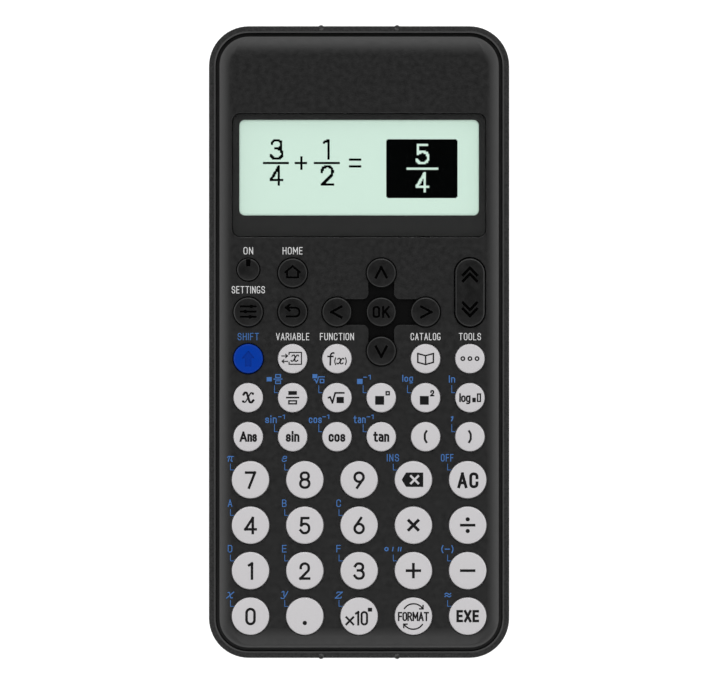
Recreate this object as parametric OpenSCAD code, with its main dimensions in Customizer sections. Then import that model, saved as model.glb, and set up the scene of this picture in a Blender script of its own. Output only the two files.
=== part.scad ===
// Pocket scientific calculator: a two-shell case with a dot-matrix display, round push keys over
// a moulded rubber keypad, and one AAA cell behind a screwed cover.
// It lies on its back: X runs across the face, Y up the face and Z out of it. The origin is at the
// middle of the back.

/* [Case] */
// Width of the case
body_w = 77; // [74:0.5:90]
// Corner radius of the outline
corner_r = 10.2; // [9.5:0.1:13]
// Wall of the front shell
wall = 1.6; // [1.2:0.1:2]
// Floor of the rear shell
floor_t = 1.6; // [1.4:0.1:2.2]
// Width of the upstanding rim round the rear shell
rim_w = 1.7; // [1.2:0.1:2]
// Drop from the face to the top of the rim
rim_drop = 3; // [2.4:0.1:3.6]
// Radius that softens the rim's outer edge
rim_edge_r = 0.3; // [0.2:0.1:0.8]
// Radius of the rounded inner edge of the rim
rim_inner_r = 1; // [0.7:0.1:1.6]
// Width over which the rim rounds off inwards
rim_inner_w = 0.5; // [0.2:0.05:0.6]
// Width of the groove between the rim and the face
groove_w = 1; // [0.8:0.1:1.4]
// Depth of the groove below the rim
groove_depth = 1.6; // [1:0.1:2]
// Thickness of the front shell's flange, which is the floor of the groove
flange_t = 1.2; // [0.8:0.1:1.6]
// Clearance between the flange and the rim
seam_gap = 0.1; // [0.05:0.05:0.2]
// Radius of the rounded edge round the face
face_edge_r = 4; // [3.6:0.1:5]
// Width over which the face rounds off
face_edge_w = 3.2; // [2.4:0.1:3.4]
// Radius of the gentle fall of the face towards its two ends
fall_r = 12; // [10:0.5:20]
// Length of the gentle fall
fall_l = 5; // [4:0.1:6]
// Radius of the rounded edge round the back
back_edge_r = 5; // [4.4:0.1:6]
// Width over which the back rounds off
back_edge_w = 4; // [3:0.1:4.2]
// Radius of the detent studs on the rim that a slide-on cover snaps over
detent_r = 0.75; // [0.6:0.05:1]
// Height of the detent studs above the wall
detent_proud = 0.3; // [0.2:0.05:0.4]
// Height of the detent studs above the rim
detent_rise = 0.35; // [0.2:0.05:0.5]
// Spacing of the two detent studs on each end
detent_spacing = 19.5; // [14:0.5:30]

/* [Display] */
// Outer edge of the case to the side of the window
window_margin = 5.8; // [5.5:0.1:9]
// Length of the window up the face
window_l = 32; // [29:0.1:40]
// Corner radius of the window
window_r = 2.3; // [1.5:0.1:4]
// Thickness of the window
window_t = 1; // [0.8:0.1:1.4]
// Depth of the window's top below the face
window_sink = 0.3; // [0.1:0.1:0.5]
// Clearance round the window
window_gap = 0.1; // [0.05:0.05:0.2]
// Printed border at the window's sides
border_side = 2; // [1.5:0.1:4]
// Printed border at the window's top
border_top = 1.8; // [1.5:0.1:3]
// Length of the visible display up the face
view_l = 24.5; // [20:0.1:26]
// Corner radius of the visible display
view_r = 1.4; // [0.5:0.1:2.5]
// Room between the visible display and the shell's opening
view_gap = 0.6; // [0.3:0.1:0.8]
// Shelf of the front shell between the window and the glass
shelf_t = 0.6; // [0.5:0.1:1.2]
// Thickness of each of the display's two glass plates
glass_t = 0.9; // [0.7:0.1:1.1]
// Sealed edge of the glass round the visible display
glass_seal = 1.4; // [1:0.1:1.6]
// Overhang of the front plate, which carries the contacts
glass_overhang = 2.6; // [2.4:0.1:3]
// Width of the rubber connector strips under the overhang
connector_w = 2; // [1.4:0.1:2.2]
// Thickness of the ribs that locate the glass
rib_t = 0.7; // [0.5:0.1:0.9]
// Clearance round the glass
glass_gap = 0.1; // [0.05:0.05:0.2]

/* [Keys] */
// Diameter of the number keys
number_key_d = 9.55; // [8.5:0.05:10.5]
// Gap between rows of number keys
number_gap = 2.1; // [1.8:0.1:4]
// Outer edge of the case to the outermost number key
number_margin = 5.9; // [5.8:0.1:8]
// Lower edge of the case to the lowest number keys
bottom_margin = 6; // [5.8:0.1:8]
// Diameter of the function and arrow keys
function_key_d = 7.5; // [6.8:0.05:8.2]
// Gap between rows of function keys
function_gap = 2.5; // [2:0.1:4]
// Outer edge of the case to the outermost function key
function_margin = 6.35; // [6:0.05:8]
// Gap between the last function row and the first number row
row_gap = 2.5; // [2:0.1:4]
// Strip for the labels between the arrow keys and the function rows
label_strip = 4.45; // [4:0.05:6]
// Strip for the labels between the window and the arrow keys
display_strip = 5.3; // [5.1:0.1:8]
// Diameter of the on key
on_key_d = 5.8; // [5.4:0.1:6.4]
// Height of the keys above the face
key_proud = 1.2; // [0.9:0.1:1.6]
// Height of the on key above the face
on_key_proud = 0.6; // [0.4:0.1:1]
// Travel of a key
key_travel = 1; // [0.7:0.1:1.3]
// Clearance between a key and its hole
key_gap = 0.25; // [0.2:0.05:0.35]
// Clearance between a key's lip and the shell above it
key_play = 0.1; // [0.05:0.05:0.2]
// Width of the lip that keeps a key in the shell
lip_w = 0.6; // [0.45:0.05:0.7]
// Thickness of the lip
lip_t = 0.8; // [0.6:0.1:1]
// Wall of a hollow key cap
cap_wall = 0.9; // [0.7:0.1:1]
// Top of a hollow key cap
cap_top_t = 1; // [0.8:0.1:1.4]
// Radius round the top of a key cap
cap_edge_r = 0.4; // [0.2:0.05:0.6]
// Height of the crown on a key cap
cap_crown = 0.15; // [0.1:0.05:0.25]
// Diameter of the stem under a key cap
stem_d = 3.2; // [2.4:0.1:3.4]
// Tilt of the page rocker to each side, in degrees
rocker_tilt = 3.5; // [2:0.5:4]
// Clearance left between the page rocker and its hole at full tilt
rocker_gap = 0.15; // [0.1:0.05:0.3]
// Length of the page rocker's pivot ears
ear_l = 2.4; // [1.8:0.1:3]
// Width of the cross-shaped recess that joins the arrow keys
cross_w = 6.65; // [5.5:0.05:7]
// Depth of the cross-shaped recess
cross_depth = 0.8; // [0.5:0.1:0.9]
// Radius of the face's corners inside the cross
cross_corner_r = 1.4; // [0.8:0.1:1.8]

/* [Keypad and board] */
// Thickness of the rubber sheet
sheet_t = 0.8; // [0.6:0.1:1.2]
// Height of a rubber dome beyond the travel of its key
dome_slack = 1.1; // [0.9:0.1:1.4]
// Diameter of a dome's top
dome_top_d = 3.6; // [3.4:0.1:3.8]
// Diameter of a dome's foot
dome_base_d = 6; // [5.4:0.1:6.6]
// Wall of a dome
dome_wall = 0.5; // [0.4:0.1:0.7]
// Thickness of a dome's cap
dome_cap_t = 0.7; // [0.5:0.1:0.8]
// Diameter of the contact pill inside a dome
pill_d = 2.2; // [1.8:0.1:2.4]
// Thickness of the circuit board
board_t = 1.2; // [0.8:0.1:1.6]
// Clearance round the board and the rubber sheet
board_gap = 0.4; // [0.3:0.1:0.8]
// Clearance between inner pieces that pass close to each other
inner_gap = 0.2; // [0.15:0.05:0.3]
// Diameter of the moulded blob over the chip
chip_d = 13; // [9:0.5:16]
// Height of the blob over the chip
chip_h = 1.1; // [0.8:0.1:1.4]
// Length of each chip capacitor
capacitor_l = 1.6; // [1:0.1:2]
// Width of each chip capacitor
capacitor_w = 0.9; // [0.5:0.1:1.2]
// Height of each chip capacitor
capacitor_h = 0.8; // [0.5:0.1:1]
// Spacing of the chip capacitors
capacitor_pitch = 3.2; // [2.2:0.1:4]

/* [Battery] */
// Diameter of the cell
battery_d = 10.5; // [9.5:0.1:11.5]
// Length of the cell with its positive cap
battery_l = 44.5; // [40:0.1:46]
// Diameter of the positive cap
cap_d = 3.8; // [3:0.1:5]
// Height of the positive cap
cap_h = 1; // [0.8:0.1:1.6]
// Rounding of the cell's ends
battery_edge_r = 0.6; // [0.3:0.1:0.8]
// Clearance above and below the cell
battery_clear = 0.1; // [0.05:0.05:0.3]
// Clearance along the cell's sides
bay_clear = 0.4; // [0.3:0.1:0.8]
// Wall of the battery bay
bay_wall = 1.1; // [1:0.1:1.4]
// Thickness of the battery cover
cover_t = 1.1; // [0.9:0.1:1.2]
// Overlap of the cover on its seat
cover_lap = 0.7; // [0.5:0.1:0.8]
// Clearance round the cover
cover_gap = 0.15; // [0.1:0.05:0.2]
// Corner radius of the cover
cover_r = 1.6; // [1:0.1:2.2]
// Width of the cover's screw tongue
tongue_w = 9; // [8:0.5:12]
// Reach of the tongue's screw from the bay
tongue_reach = 4; // [3.6:0.1:5]
// Thickness of the tongue
tongue_t = 2.2; // [2:0.1:2.6]
// Width of each hook on the cover's far edge
hook_w = 6; // [4:0.5:8]
// Thickness of the hooks
hook_t = 0.7; // [0.5:0.1:0.9]
// Thickness of the shell over the cell
roof_t = 0.8; // [0.6:0.1:1.2]
// Gap between the bay and the frame round the display glass
header_gap = 1.05; // [0.9:0.05:6]
// Thickness of the battery contacts
contact_t = 0.4; // [0.3:0.05:0.5]
// Width of the battery contacts
contact_w = 7; // [5:0.5:8]
// Height of the tails that join the contacts to the board
contact_tail_h = 1; // [0.6:0.1:1.2]
// Length of the contact spring when the cell is in
spring_l = 4.1; // [3.4:0.1:5]
// Diameter of the spring's wide end
spring_d = 6.4; // [5:0.1:7]
// Diameter of the spring wire
wire_d = 0.6; // [0.4:0.05:0.7]
// Turns of the spring
spring_turns = 3; // [2:0.5:3]

/* [Screws] */
// Diameter of the screws
screw_d = 2; // [1.6:0.1:2.4]
// Diameter of the screw heads
screw_head_d = 3.6; // [3.2:0.1:4]
// Height of the screw heads
screw_head_h = 1.1; // [0.9:0.1:1.3]
// Length of the cross recess in a screw head
driver_l = 2.2; // [1.8:0.1:2.6]
// Width of the cross recess
driver_w = 0.6; // [0.4:0.05:0.8]
// Depth of the cross recess
driver_h = 0.55; // [0.4:0.05:0.7]
// Depth of the screw heads below the back
screw_sink = 0.8; // [0.5:0.1:1.2]
// Clearance round a screw where it passes through
screw_clear = 0.15; // [0.1:0.05:0.3]
// Clearance round a screw's thread in its boss
thread_clear = 0.04; // [0.02:0.01:0.06]
// Diameter of the posts in the rear shell
post_d = 5.8; // [5.4:0.1:6.4]
// Diameter of the bosses in the front shell
boss_d = 4.8; // [4.2:0.1:5.4]
// Plastic left above a screw's tip
tip_cover = 1; // [0.6:0.1:1.4]

/* [Hidden] */
$fn = 64;
flat_arc_fn = 720;
case_colour = "#2d2d2e";
rim_colour = "#333334";
dark_key_colour = "#29292a";
pale_key_colour = "#cfcdce";
shift_key_colour = "#0b3796";
metal_colour = "#b8b9bb";
eps = 0.01;

// Heights, from the back up through the cell to the face, then down through the keys to the board
battery_z = cover_t + battery_clear + battery_d / 2;
face_z = battery_z + battery_d / 2 + battery_clear + roof_t;
face_inner_z = face_z - wall;
rim_z = face_z - rim_drop;
groove_z = rim_z - groove_depth;
seat_z = groove_z - flange_t;
lip_z = face_inner_z - key_play;
key_foot_z = lip_z - lip_t;
sheet_z = key_foot_z - key_travel - dome_slack;
board_top_z = sheet_z - sheet_t;
board_z = board_top_z - board_t;
bay_top_z = board_top_z - inner_gap;
window_seat_z = face_z - window_sink - window_t;
glass_z = window_seat_z - shelf_t;

// Screws run from a seat in the rear shell to just under the face
head_seat_z = screw_sink + screw_head_h;
screw_tip_z = face_inner_z - tip_cover;
tongue_head_z = tongue_t - screw_head_h;
tongue_tip_z = board_z - tip_cover;

// Lengths up the face, from the lower edge to the top edge
number_rows = 4;
number_pitch_y = number_key_d + number_gap;
function_pitch_y = function_key_d + function_gap;
numbers_l = number_rows * number_pitch_y - number_gap;
functions_l = 3 * function_pitch_y - function_gap;
arrows_l = 2 * function_pitch_y - function_gap;
bay_inner_l = battery_d + 2 * bay_clear;
top_wall = rim_w + groove_w + wall + board_gap;
frame_over_window = glass_seal + glass_overhang + glass_gap + rib_t - border_top;
body_l = bottom_margin + numbers_l + row_gap + functions_l + label_strip + arrows_l + display_strip
       + window_l + frame_over_window + header_gap + bay_inner_l + 2 * bay_wall + top_wall;
core_w = body_w - 2 * corner_r;
core_l = body_l - 2 * corner_r;
face_corner_r = corner_r - rim_w - groove_w;
inner_corner_r = face_corner_r - wall;
inner_w = core_w + 2 * inner_corner_r;
inner_l = core_l + 2 * inner_corner_r;

// Rows and columns of keys
number_pitch_x = (body_w - 2 * number_margin - number_key_d) / 4;
function_pitch_x = (body_w - 2 * function_margin - function_key_d) / 5;
function number_x(column) = (column - 2) * number_pitch_x;
function function_x(column) = (column - 2.5) * function_pitch_x;
function number_y(row) = -body_l / 2 + bottom_margin + number_key_d / 2
                       + (number_rows - 1 - row) * number_pitch_y;
function function_y(row) = number_y(0) + number_key_d / 2 + row_gap + function_key_d / 2
                         + (2 - row) * function_pitch_y;
arrow_mid_y = function_y(0) + function_key_d + label_strip;
arrow_up_y = arrow_mid_y + function_pitch_y;
arrow_down_y = arrow_mid_y - function_pitch_y;
window_y = arrow_up_y + function_key_d / 2 + display_strip;
bay_y = window_y + window_l + frame_over_window + header_gap + bay_wall;
battery_y = bay_y + bay_inner_l / 2;
board_top_y = bay_y - bay_wall - board_gap;

// Display
window_w = body_w - 2 * window_margin;
view_w = window_w - 2 * border_side;
view_mid_y = window_y + window_l - border_top - view_l / 2;
glass_w = view_w + 2 * glass_seal;
rear_glass_l = view_l + 2 * glass_seal;
glass_l = rear_glass_l + 2 * glass_overhang;

// Battery bay
bay_inner_w = battery_l + spring_l + 2 * contact_t;
battery_x = -bay_inner_w / 2 + contact_t + spring_l;
cover_l = bay_inner_l + 2 * cover_lap;
cover_w = bay_inner_w + 2 * cover_lap;
tongue_y = bay_y - tongue_reach;
hook_x = bay_inner_w / 4;
hook_z = floor_t;

// Screw places: beside the cell, above the arrow keys, and among the lowest number keys
top_screw_x = bay_inner_w / 2 + bay_wall + inner_gap + post_d / 2;
mid_screw_x = function_x(4.5);
mid_screw_y = arrow_up_y + function_pitch_y / 2;
low_screw_x = number_x(3) + number_pitch_x / 2;
low_screw_y = (number_y(2) + number_y(3)) / 2;
TOP_SCREWS = [[-top_screw_x, battery_y], [top_screw_x, battery_y]];
BOARD_SCREWS = [
    [-mid_screw_x, mid_screw_y], [mid_screw_x, mid_screw_y],
    [-low_screw_x, low_screw_y], [low_screw_x, low_screw_y]
];
CASE_SCREWS = concat(TOP_SCREWS, BOARD_SCREWS);

// Round keys: name, x, y, diameter, height above the face, colour
function row_keys(names, y, d, columns, number, colour) = [
    for (i = [0 : len(names) - 1])
        [names[i], number ? number_x(columns[i]) : function_x(columns[i]), y, d, key_proud, colour]
];
function number_row(row, names) =
    row_keys(names, number_y(row), number_key_d, [0, 1, 2, 3, 4], true, pale_key_colour);
function pale_row(row, names, columns) =
    row_keys(names, function_y(row), function_key_d, columns, false, pale_key_colour);
function dark_row(y, names, columns) =
    row_keys(names, y, function_key_d, columns, false, dark_key_colour);
function keys_of(groups) = [for (group = groups) for (key = group) key];
on_key_y = arrow_up_y + (function_key_d - on_key_d) / 2;
ROUND_KEYS = keys_of([
    [["key_on", function_x(0), on_key_y, on_key_d, on_key_proud, dark_key_colour]],
    dark_row(arrow_up_y, ["key_home", "key_up"], [1, 3]),
    dark_row(arrow_mid_y, ["key_settings", "key_back", "key_left", "key_ok", "key_right"],
             [0, 1, 2, 3, 4]),
    dark_row(arrow_down_y, ["key_down"], [3]),
    [["key_shift", function_x(0), function_y(0), function_key_d, key_proud, shift_key_colour]],
    pale_row(0, ["key_variable", "key_function", "key_catalogue", "key_tools"], [1, 2, 4, 5]),
    pale_row(1, ["key_x", "key_fraction", "key_root", "key_exponent", "key_square", "key_log"],
             [0, 1, 2, 3, 4, 5]),
    pale_row(2, ["key_answer", "key_sin", "key_cos", "key_tan", "key_bracket_open", "key_bracket_close"],
             [0, 1, 2, 3, 4, 5]),
    number_row(0, ["key_7", "key_8", "key_9", "key_delete", "key_clear"]),
    number_row(1, ["key_4", "key_5", "key_6", "key_multiply", "key_divide"]),
    number_row(2, ["key_1", "key_2", "key_3", "key_plus", "key_minus"]),
    number_row(3, ["key_0", "key_point", "key_power_of_ten", "key_format", "key_execute"])
]);
rocker_x = function_x(5);
rocker_y = (arrow_up_y + arrow_mid_y) / 2;
rocker_z = key_foot_z + lip_t / 2;
rocker_hole_gap = rocker_gap + (face_z + key_proud - rocker_z) * sin(rocker_tilt);
ROCKER_ENDS = [arrow_up_y, arrow_mid_y];
DOMES = concat([for (key = ROUND_KEYS) [key[1], key[2]]], [for (y = ROCKER_ENDS) [rocker_x, y]]);

// Flat rectangle with round corners, centred
module round_rect(w, l, r) {
    square([w - 2 * r, l], center = true);
    square([w, l - 2 * r], center = true);
    for (x = [-1, 1], y = [-1, 1])
        translate([x * (w / 2 - r), y * (l / 2 - r)]) circle(r);
}

// Flat slot with round ends, centred, running along Y
module slot(w, l) {
    square([w, l - w], center = true);
    for (y = [-1, 1])
        translate([0, y * (l - w) / 2]) circle(d = w);
}

// Sweeps a wall profile round the case outline and fills the middle between the two heights.
// The profile's x runs outwards from the centre of the outline's corner arcs, and its y is height.
module swept_shell(low_z, high_z) {
    translate([-core_w / 2, -core_l / 2, low_z]) cube([core_w, core_l, high_z - low_z]);
    for (side = [0 : 3]) {
        reach = (side % 2 == 0 ? core_w : core_l) / 2;
        run = (side % 2 == 0 ? core_l : core_w) / 2;
        rotate(90 * side) translate([reach, run, 0]) {
            rotate([90, 0, 0]) linear_extrude(2 * run) children();
            rotate_extrude(angle = 90) children();
        }
    }
}

// Profile, from the corner's centre to a wall at reach, whose upper outer edge is a part of a circle
module soft_edge_profile(reach, low_z, high_z, edge_r, edge_w) {
    intersection() {
        translate([0, low_z]) square([reach, high_z - low_z]);
        union() {
            translate([0, low_z]) square([reach - edge_w, high_z - low_z]);
            translate([0, low_z]) square([reach, high_z - edge_r - low_z]);
            translate([reach - edge_w, high_z - edge_r]) circle(edge_r);
        }
    }
}

// Wall profile of the front shell: rounded face, side wall, and the flange that closes the groove
module front_profile() {
    difference() {
        union() {
            soft_edge_profile(face_corner_r, seat_z, face_z, face_edge_r, face_edge_w);
            translate([0, seat_z]) square([corner_r - rim_w - seam_gap, flange_t]);
        }
        translate([-eps, seat_z - eps]) square([inner_corner_r + eps, face_inner_z - seat_z + eps]);
    }
}

// Wall profile of the rear shell: rounded back, side wall, seat for the flange, and the rim
module rear_profile() {
    rim_inner_drop = rim_inner_r - sqrt(rim_inner_r * rim_inner_r - rim_inner_w * rim_inner_w);
    difference() {
        union() {
            mirror([0, 1]) soft_edge_profile(corner_r, -rim_z + rim_edge_r, 0, back_edge_r, back_edge_w);
            soft_edge_profile(corner_r, rim_z / 2, rim_z, rim_edge_r, rim_edge_r);
        }
        translate([-eps, floor_t]) square([face_corner_r + eps, rim_z]);
        translate([0, seat_z]) square([corner_r - rim_w, rim_z]);
        translate([corner_r - rim_w - eps, rim_z - rim_inner_drop]) difference() {
            square([rim_inner_w + eps, rim_inner_drop + eps]);
            translate([rim_inner_w + eps, rim_inner_drop - rim_inner_r])
                circle(rim_inner_r, $fn = flat_arc_fn);
        }
    }
}

// Half profile of a key: crowned top with a soft edge, retaining lip, hollow underside and stem
module key_profile(d, top_z, lip) {
    shoulder_r = d / 2 - cap_edge_r;
    shoulder_z = top_z - cap_crown;
    crown_r = (shoulder_r * shoulder_r + cap_crown * cap_crown) / (2 * cap_crown);
    difference() {
        union() {
            translate([0, key_foot_z]) square([shoulder_r, shoulder_z - key_foot_z]);
            translate([0, key_foot_z]) square([d / 2, shoulder_z - cap_edge_r - key_foot_z]);
            translate([shoulder_r, shoulder_z - cap_edge_r]) circle(cap_edge_r);
            intersection() {
                translate([0, shoulder_z - cap_edge_r]) square([shoulder_r, cap_edge_r + cap_crown]);
                translate([0, top_z - crown_r]) circle(crown_r, $fn = flat_arc_fn);
            }
            translate([0, key_foot_z]) square([d / 2 + lip, lip_t]);
        }
        translate([stem_d / 2, key_foot_z - eps])
            square([d / 2 - cap_wall - stem_d / 2, shoulder_z - cap_top_t - key_foot_z + eps]);
    }
}

// Push key on its stem, kept in the shell by a lip all round
module round_key(key) {
    color(key[5]) translate([key[1], key[2], 0])
        rotate_extrude() key_profile(key[3], face_z + key[4], lip_w);
}

// Page rocker: a long key with two round ends, a stem over each dome and pivot ears at its middle
module key_page() {
    span = arrow_up_y - arrow_mid_y;
    color(dark_key_colour) translate([rocker_x, rocker_y, 0]) {
        for (end = [0, 1])
            rotate(180 * end) translate([0, span / 2, 0])
                rotate_extrude(angle = 180) key_profile(function_key_d, face_z + key_proud, 0);
        for (side = [0, 1])
            rotate(180 * side) translate([0, span / 2, 0]) rotate([90, 0, 0]) linear_extrude(span)
                key_profile(function_key_d, face_z + key_proud, 0);
        for (side = [-1, 1])
            translate([side * function_key_d / 2, 0, rocker_z])
                cube([2 * lip_w, ear_l, lip_t], center = true);
    }
}

// Cross-shaped recess between the arrow keys, with round corners on the face
module cross_recess() {
    reach_x = function_pitch_x;
    reach_y = function_pitch_y;
    translate([function_x(3), arrow_mid_y, face_z - cross_depth]) linear_extrude(cross_depth + eps) {
        square([2 * reach_x, cross_w], center = true);
        square([cross_w, 2 * reach_y], center = true);
        for (x = [0, 1], y = [0, 1])
            mirror([x, 0]) mirror([0, y]) translate([cross_w / 2, cross_w / 2]) difference() {
                square(cross_corner_r);
                translate([cross_corner_r, cross_corner_r]) circle(cross_corner_r);
            }
    }
}

// Holes in the face for every key
module key_holes() {
    hole_l = face_z - face_inner_z + 2 * eps;
    for (key = ROUND_KEYS)
        translate([key[1], key[2], face_inner_z - eps]) cylinder(d = key[3] + 2 * key_gap, h = hole_l);
    translate([rocker_x, rocker_y, face_inner_z - eps]) linear_extrude(hole_l)
        slot(function_key_d + 2 * rocker_hole_gap,
             arrow_up_y - arrow_mid_y + function_key_d + 2 * rocker_hole_gap);
}

// Space above the face's gentle fall at its two ends, which starts with a slope of one degree
module face_falls() {
    start_y = body_l / 2 - rim_w - groove_w - fall_l;
    slope = 1;
    for (end = [0, 180])
        rotate(end) difference() {
            translate([-body_w / 2, start_y - eps, rim_z])
                cube([body_w, fall_l + groove_w, rim_drop + eps]);
            translate([-body_w / 2 - eps, start_y - fall_r * sin(slope), face_z - fall_r * cos(slope)])
                rotate([0, 90, 0]) cylinder(r = fall_r, h = body_w + 2 * eps, $fn = flat_arc_fn);
        }
}

// Frame under the face that carries the window's shelf and locates the display glass
module display_frame() {
    outer_w = glass_w + 2 * (glass_gap + rib_t);
    outer_l = glass_l + 2 * (glass_gap + rib_t);
    rib_z = glass_z - 2 * glass_t;
    translate([0, view_mid_y, rib_z]) difference() {
        translate([-outer_w / 2, -outer_l / 2, 0]) cube([outer_w, outer_l, face_inner_z - rib_z + eps]);
        translate([-glass_w / 2 - glass_gap, -glass_l / 2 - glass_gap, -eps])
            cube([glass_w + 2 * glass_gap, glass_l + 2 * glass_gap, glass_z - rib_z + eps]);
    }
}

// Front shell: face, side wall and flange, with the display frame and the screw bosses inside
module front_case() {
    color(case_colour) difference() {
        union() {
            swept_shell(face_inner_z, face_z) front_profile();
            display_frame();
            for (p = BOARD_SCREWS)
                translate([p.x, p.y, board_top_z]) cylinder(d = boss_d, h = face_inner_z - board_top_z + eps);
            for (p = TOP_SCREWS)
                translate([p.x, p.y, board_z]) cylinder(d = boss_d, h = face_inner_z - board_z + eps);
        }
        key_holes();
        cross_recess();
        face_falls();
        translate([0, window_y + window_l / 2, window_seat_z]) linear_extrude(face_z - window_seat_z + eps)
            round_rect(window_w, window_l, window_r);
        translate([0, view_mid_y, glass_z - eps]) linear_extrude(shelf_t + 2 * eps)
            round_rect(view_w + 2 * view_gap, view_l + 2 * view_gap, view_r + view_gap);
        translate([-bay_inner_w / 2, battery_y, battery_z]) rotate([0, 90, 0])
            cylinder(d = battery_d + 2 * battery_clear, h = bay_inner_w);
        for (p = CASE_SCREWS)
            translate([p.x, p.y, board_z - eps])
                cylinder(d = screw_d + 2 * thread_clear, h = screw_tip_z - board_z + 2 * eps);
    }
}

// Outline of the battery cover, grown by a clearance: a plate over the bay with a screw tongue
module cover_outline(grow) {
    translate([0, battery_y]) round_rect(cover_w + 2 * grow, cover_l + 2 * grow, cover_r + grow);
    translate([0, tongue_y + tongue_reach / 2])
        slot(tongue_w + 2 * grow, tongue_reach + tongue_w + 2 * grow);
}

// Part of the cover outline that is thick enough to take the screw
module tongue_outline(grow) {
    difference() {
        translate([0, tongue_y + tongue_reach / 2])
            slot(tongue_w + 2 * grow, tongue_reach + tongue_w + 2 * grow);
        translate([-tongue_w, bay_y - bay_wall - cover_gap + grow]) square([2 * tongue_w, cover_l]);
    }
}

// Rear shell: back, side wall and rim, with the screw posts, the battery bay and its cover's seat
module rear_case() {
    color(rim_colour) difference() {
        union() {
            swept_shell(0, floor_t) rear_profile();
            for (end = [-1, 1], side = [-1, 1])
                translate([side * detent_spacing / 2, end * (body_l / 2 + detent_proud - detent_r),
                           rim_z + detent_rise - detent_r])
                    sphere(detent_r);
            for (p = CASE_SCREWS)
                translate([p.x, p.y, floor_t - eps]) cylinder(d = post_d, h = board_z - floor_t + eps);
            translate([-bay_inner_w / 2 - bay_wall, bay_y - bay_wall, floor_t - eps])
                cube([bay_inner_w + 2 * bay_wall, bay_inner_l + 2 * bay_wall, bay_top_z - floor_t + eps]);
            translate([0, 0, floor_t - eps]) linear_extrude(tongue_t) tongue_outline(bay_wall);
            translate([0, tongue_y + tongue_reach / 2, floor_t - eps])
                linear_extrude(board_z - floor_t - inner_gap) slot(post_d, tongue_reach + post_d);
        }
        translate([-bay_inner_w / 2, bay_y, -eps])
            cube([bay_inner_w, bay_inner_l, bay_top_z + 2 * eps]);
        translate([0, 0, -eps]) linear_extrude(cover_t + eps) cover_outline(cover_gap);
        translate([0, 0, -eps]) linear_extrude(tongue_t + eps) tongue_outline(cover_gap);
        for (x = [-hook_x, hook_x])
            translate([x - hook_w / 2 - cover_gap, bay_y + bay_inner_l - eps, hook_z])
                cube([hook_w + 2 * cover_gap, cover_lap + cover_gap + eps, hook_t + 2 * cover_gap]);
        for (p = CASE_SCREWS) {
            translate([p.x, p.y, -eps]) cylinder(d = screw_head_d + 2 * screw_clear, h = head_seat_z + eps);
            translate([p.x, p.y, 0]) cylinder(d = screw_d + 2 * screw_clear, h = board_z + eps);
        }
        translate([0, tongue_y, tongue_t - eps])
            cylinder(d = screw_d + 2 * thread_clear, h = tongue_tip_z - tongue_t + 2 * eps);
    }
}

// Clear display window, let into the face
module display_window() {
    color("#20262480") translate([0, window_y + window_l / 2, window_seat_z]) linear_extrude(window_t)
        round_rect(window_w - 2 * window_gap, window_l - 2 * window_gap, window_r - window_gap);
}

// Liquid crystal display: a front plate that overhangs a shorter rear plate
module lcd_panel() {
    color("#cfe7da") translate([0, view_mid_y, glass_z]) {
        translate([-glass_w / 2, -glass_l / 2, -glass_t]) cube([glass_w, glass_l, glass_t]);
        translate([-glass_w / 2, -rear_glass_l / 2, -2 * glass_t])
            cube([glass_w, rear_glass_l, glass_t + eps]);
    }
}

// Rubber connector strips that join the display's contacts to the board and hold the glass up
module lcd_connectors() {
    strip_h = glass_z - glass_t - board_top_z;
    offset_y = rear_glass_l / 2 + glass_overhang - connector_w;
    color("#6b6f76") for (side = [0, 1])
        translate([0, view_mid_y, board_top_z]) rotate(180 * side)
            translate([-view_w / 2, offset_y, 0]) cube([view_w, connector_w, strip_h]);
}

// Flat outline of the rubber sheet and of the board: the shell's inside, cut off at a top edge
module inner_outline(top_y) {
    intersection() {
        round_rect(inner_w - 2 * board_gap, inner_l - 2 * board_gap, inner_corner_r - board_gap);
        translate([-inner_w / 2, -inner_l / 2]) square([inner_w, inner_l / 2 + top_y]);
    }
}

// Rubber keypad: a sheet with a hollow dome and a contact pill under every key
module rubber_keypad() {
    dome_top_z = key_foot_z;
    roof_z = dome_top_z - dome_cap_t;
    pill_z = board_top_z + key_travel;
    color("#5a5a5c") difference() {
        union() {
            translate([0, 0, board_top_z]) linear_extrude(sheet_t)
                inner_outline(arrow_up_y + function_key_d / 2 + lip_w);
            for (p = DOMES)
                translate([p.x, p.y, sheet_z - eps])
                    cylinder(d1 = dome_base_d, d2 = dome_top_d, h = dome_top_z - sheet_z + eps);
        }
        for (p = DOMES)
            translate([p.x, p.y, board_top_z - eps]) difference() {
                cylinder(d1 = dome_base_d - dome_wall, d2 = dome_top_d - dome_wall,
                         h = roof_z - board_top_z);
                translate([0, 0, pill_z - board_top_z]) cylinder(d = pill_d, h = roof_z - pill_z + eps);
            }
        for (p = BOARD_SCREWS)
            translate([p.x, p.y, board_top_z - eps])
                cylinder(d = boss_d + 2 * screw_clear, h = sheet_t + 2 * eps);
    }
}

// Circuit board with the moulded chip and small chip capacitors on its rear
module circuit_board() {
    blob_r = (chip_d * chip_d / 4 + chip_h * chip_h) / (2 * chip_h);
    color("#3f6b45") difference() {
        union() {
            translate([0, 0, board_z]) linear_extrude(board_t) inner_outline(board_top_y);
            translate([0, view_mid_y, board_z]) rotate([180, 0, 0]) rotate_extrude() intersection() {
                translate([0, -eps]) square([chip_d / 2, chip_h + eps]);
                translate([0, chip_h - blob_r]) circle(blob_r, $fn = flat_arc_fn);
            }
            for (i = [-2 : 2])
                translate([chip_d + i * capacitor_pitch, view_mid_y, board_z - capacitor_h / 2])
                    cube([capacitor_l, capacitor_w, capacitor_h + eps], center = true);
        }
        for (p = BOARD_SCREWS)
            translate([p.x, p.y, board_z - eps])
                cylinder(d = screw_d + 2 * screw_clear, h = board_t + 2 * eps);
    }
}

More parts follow.
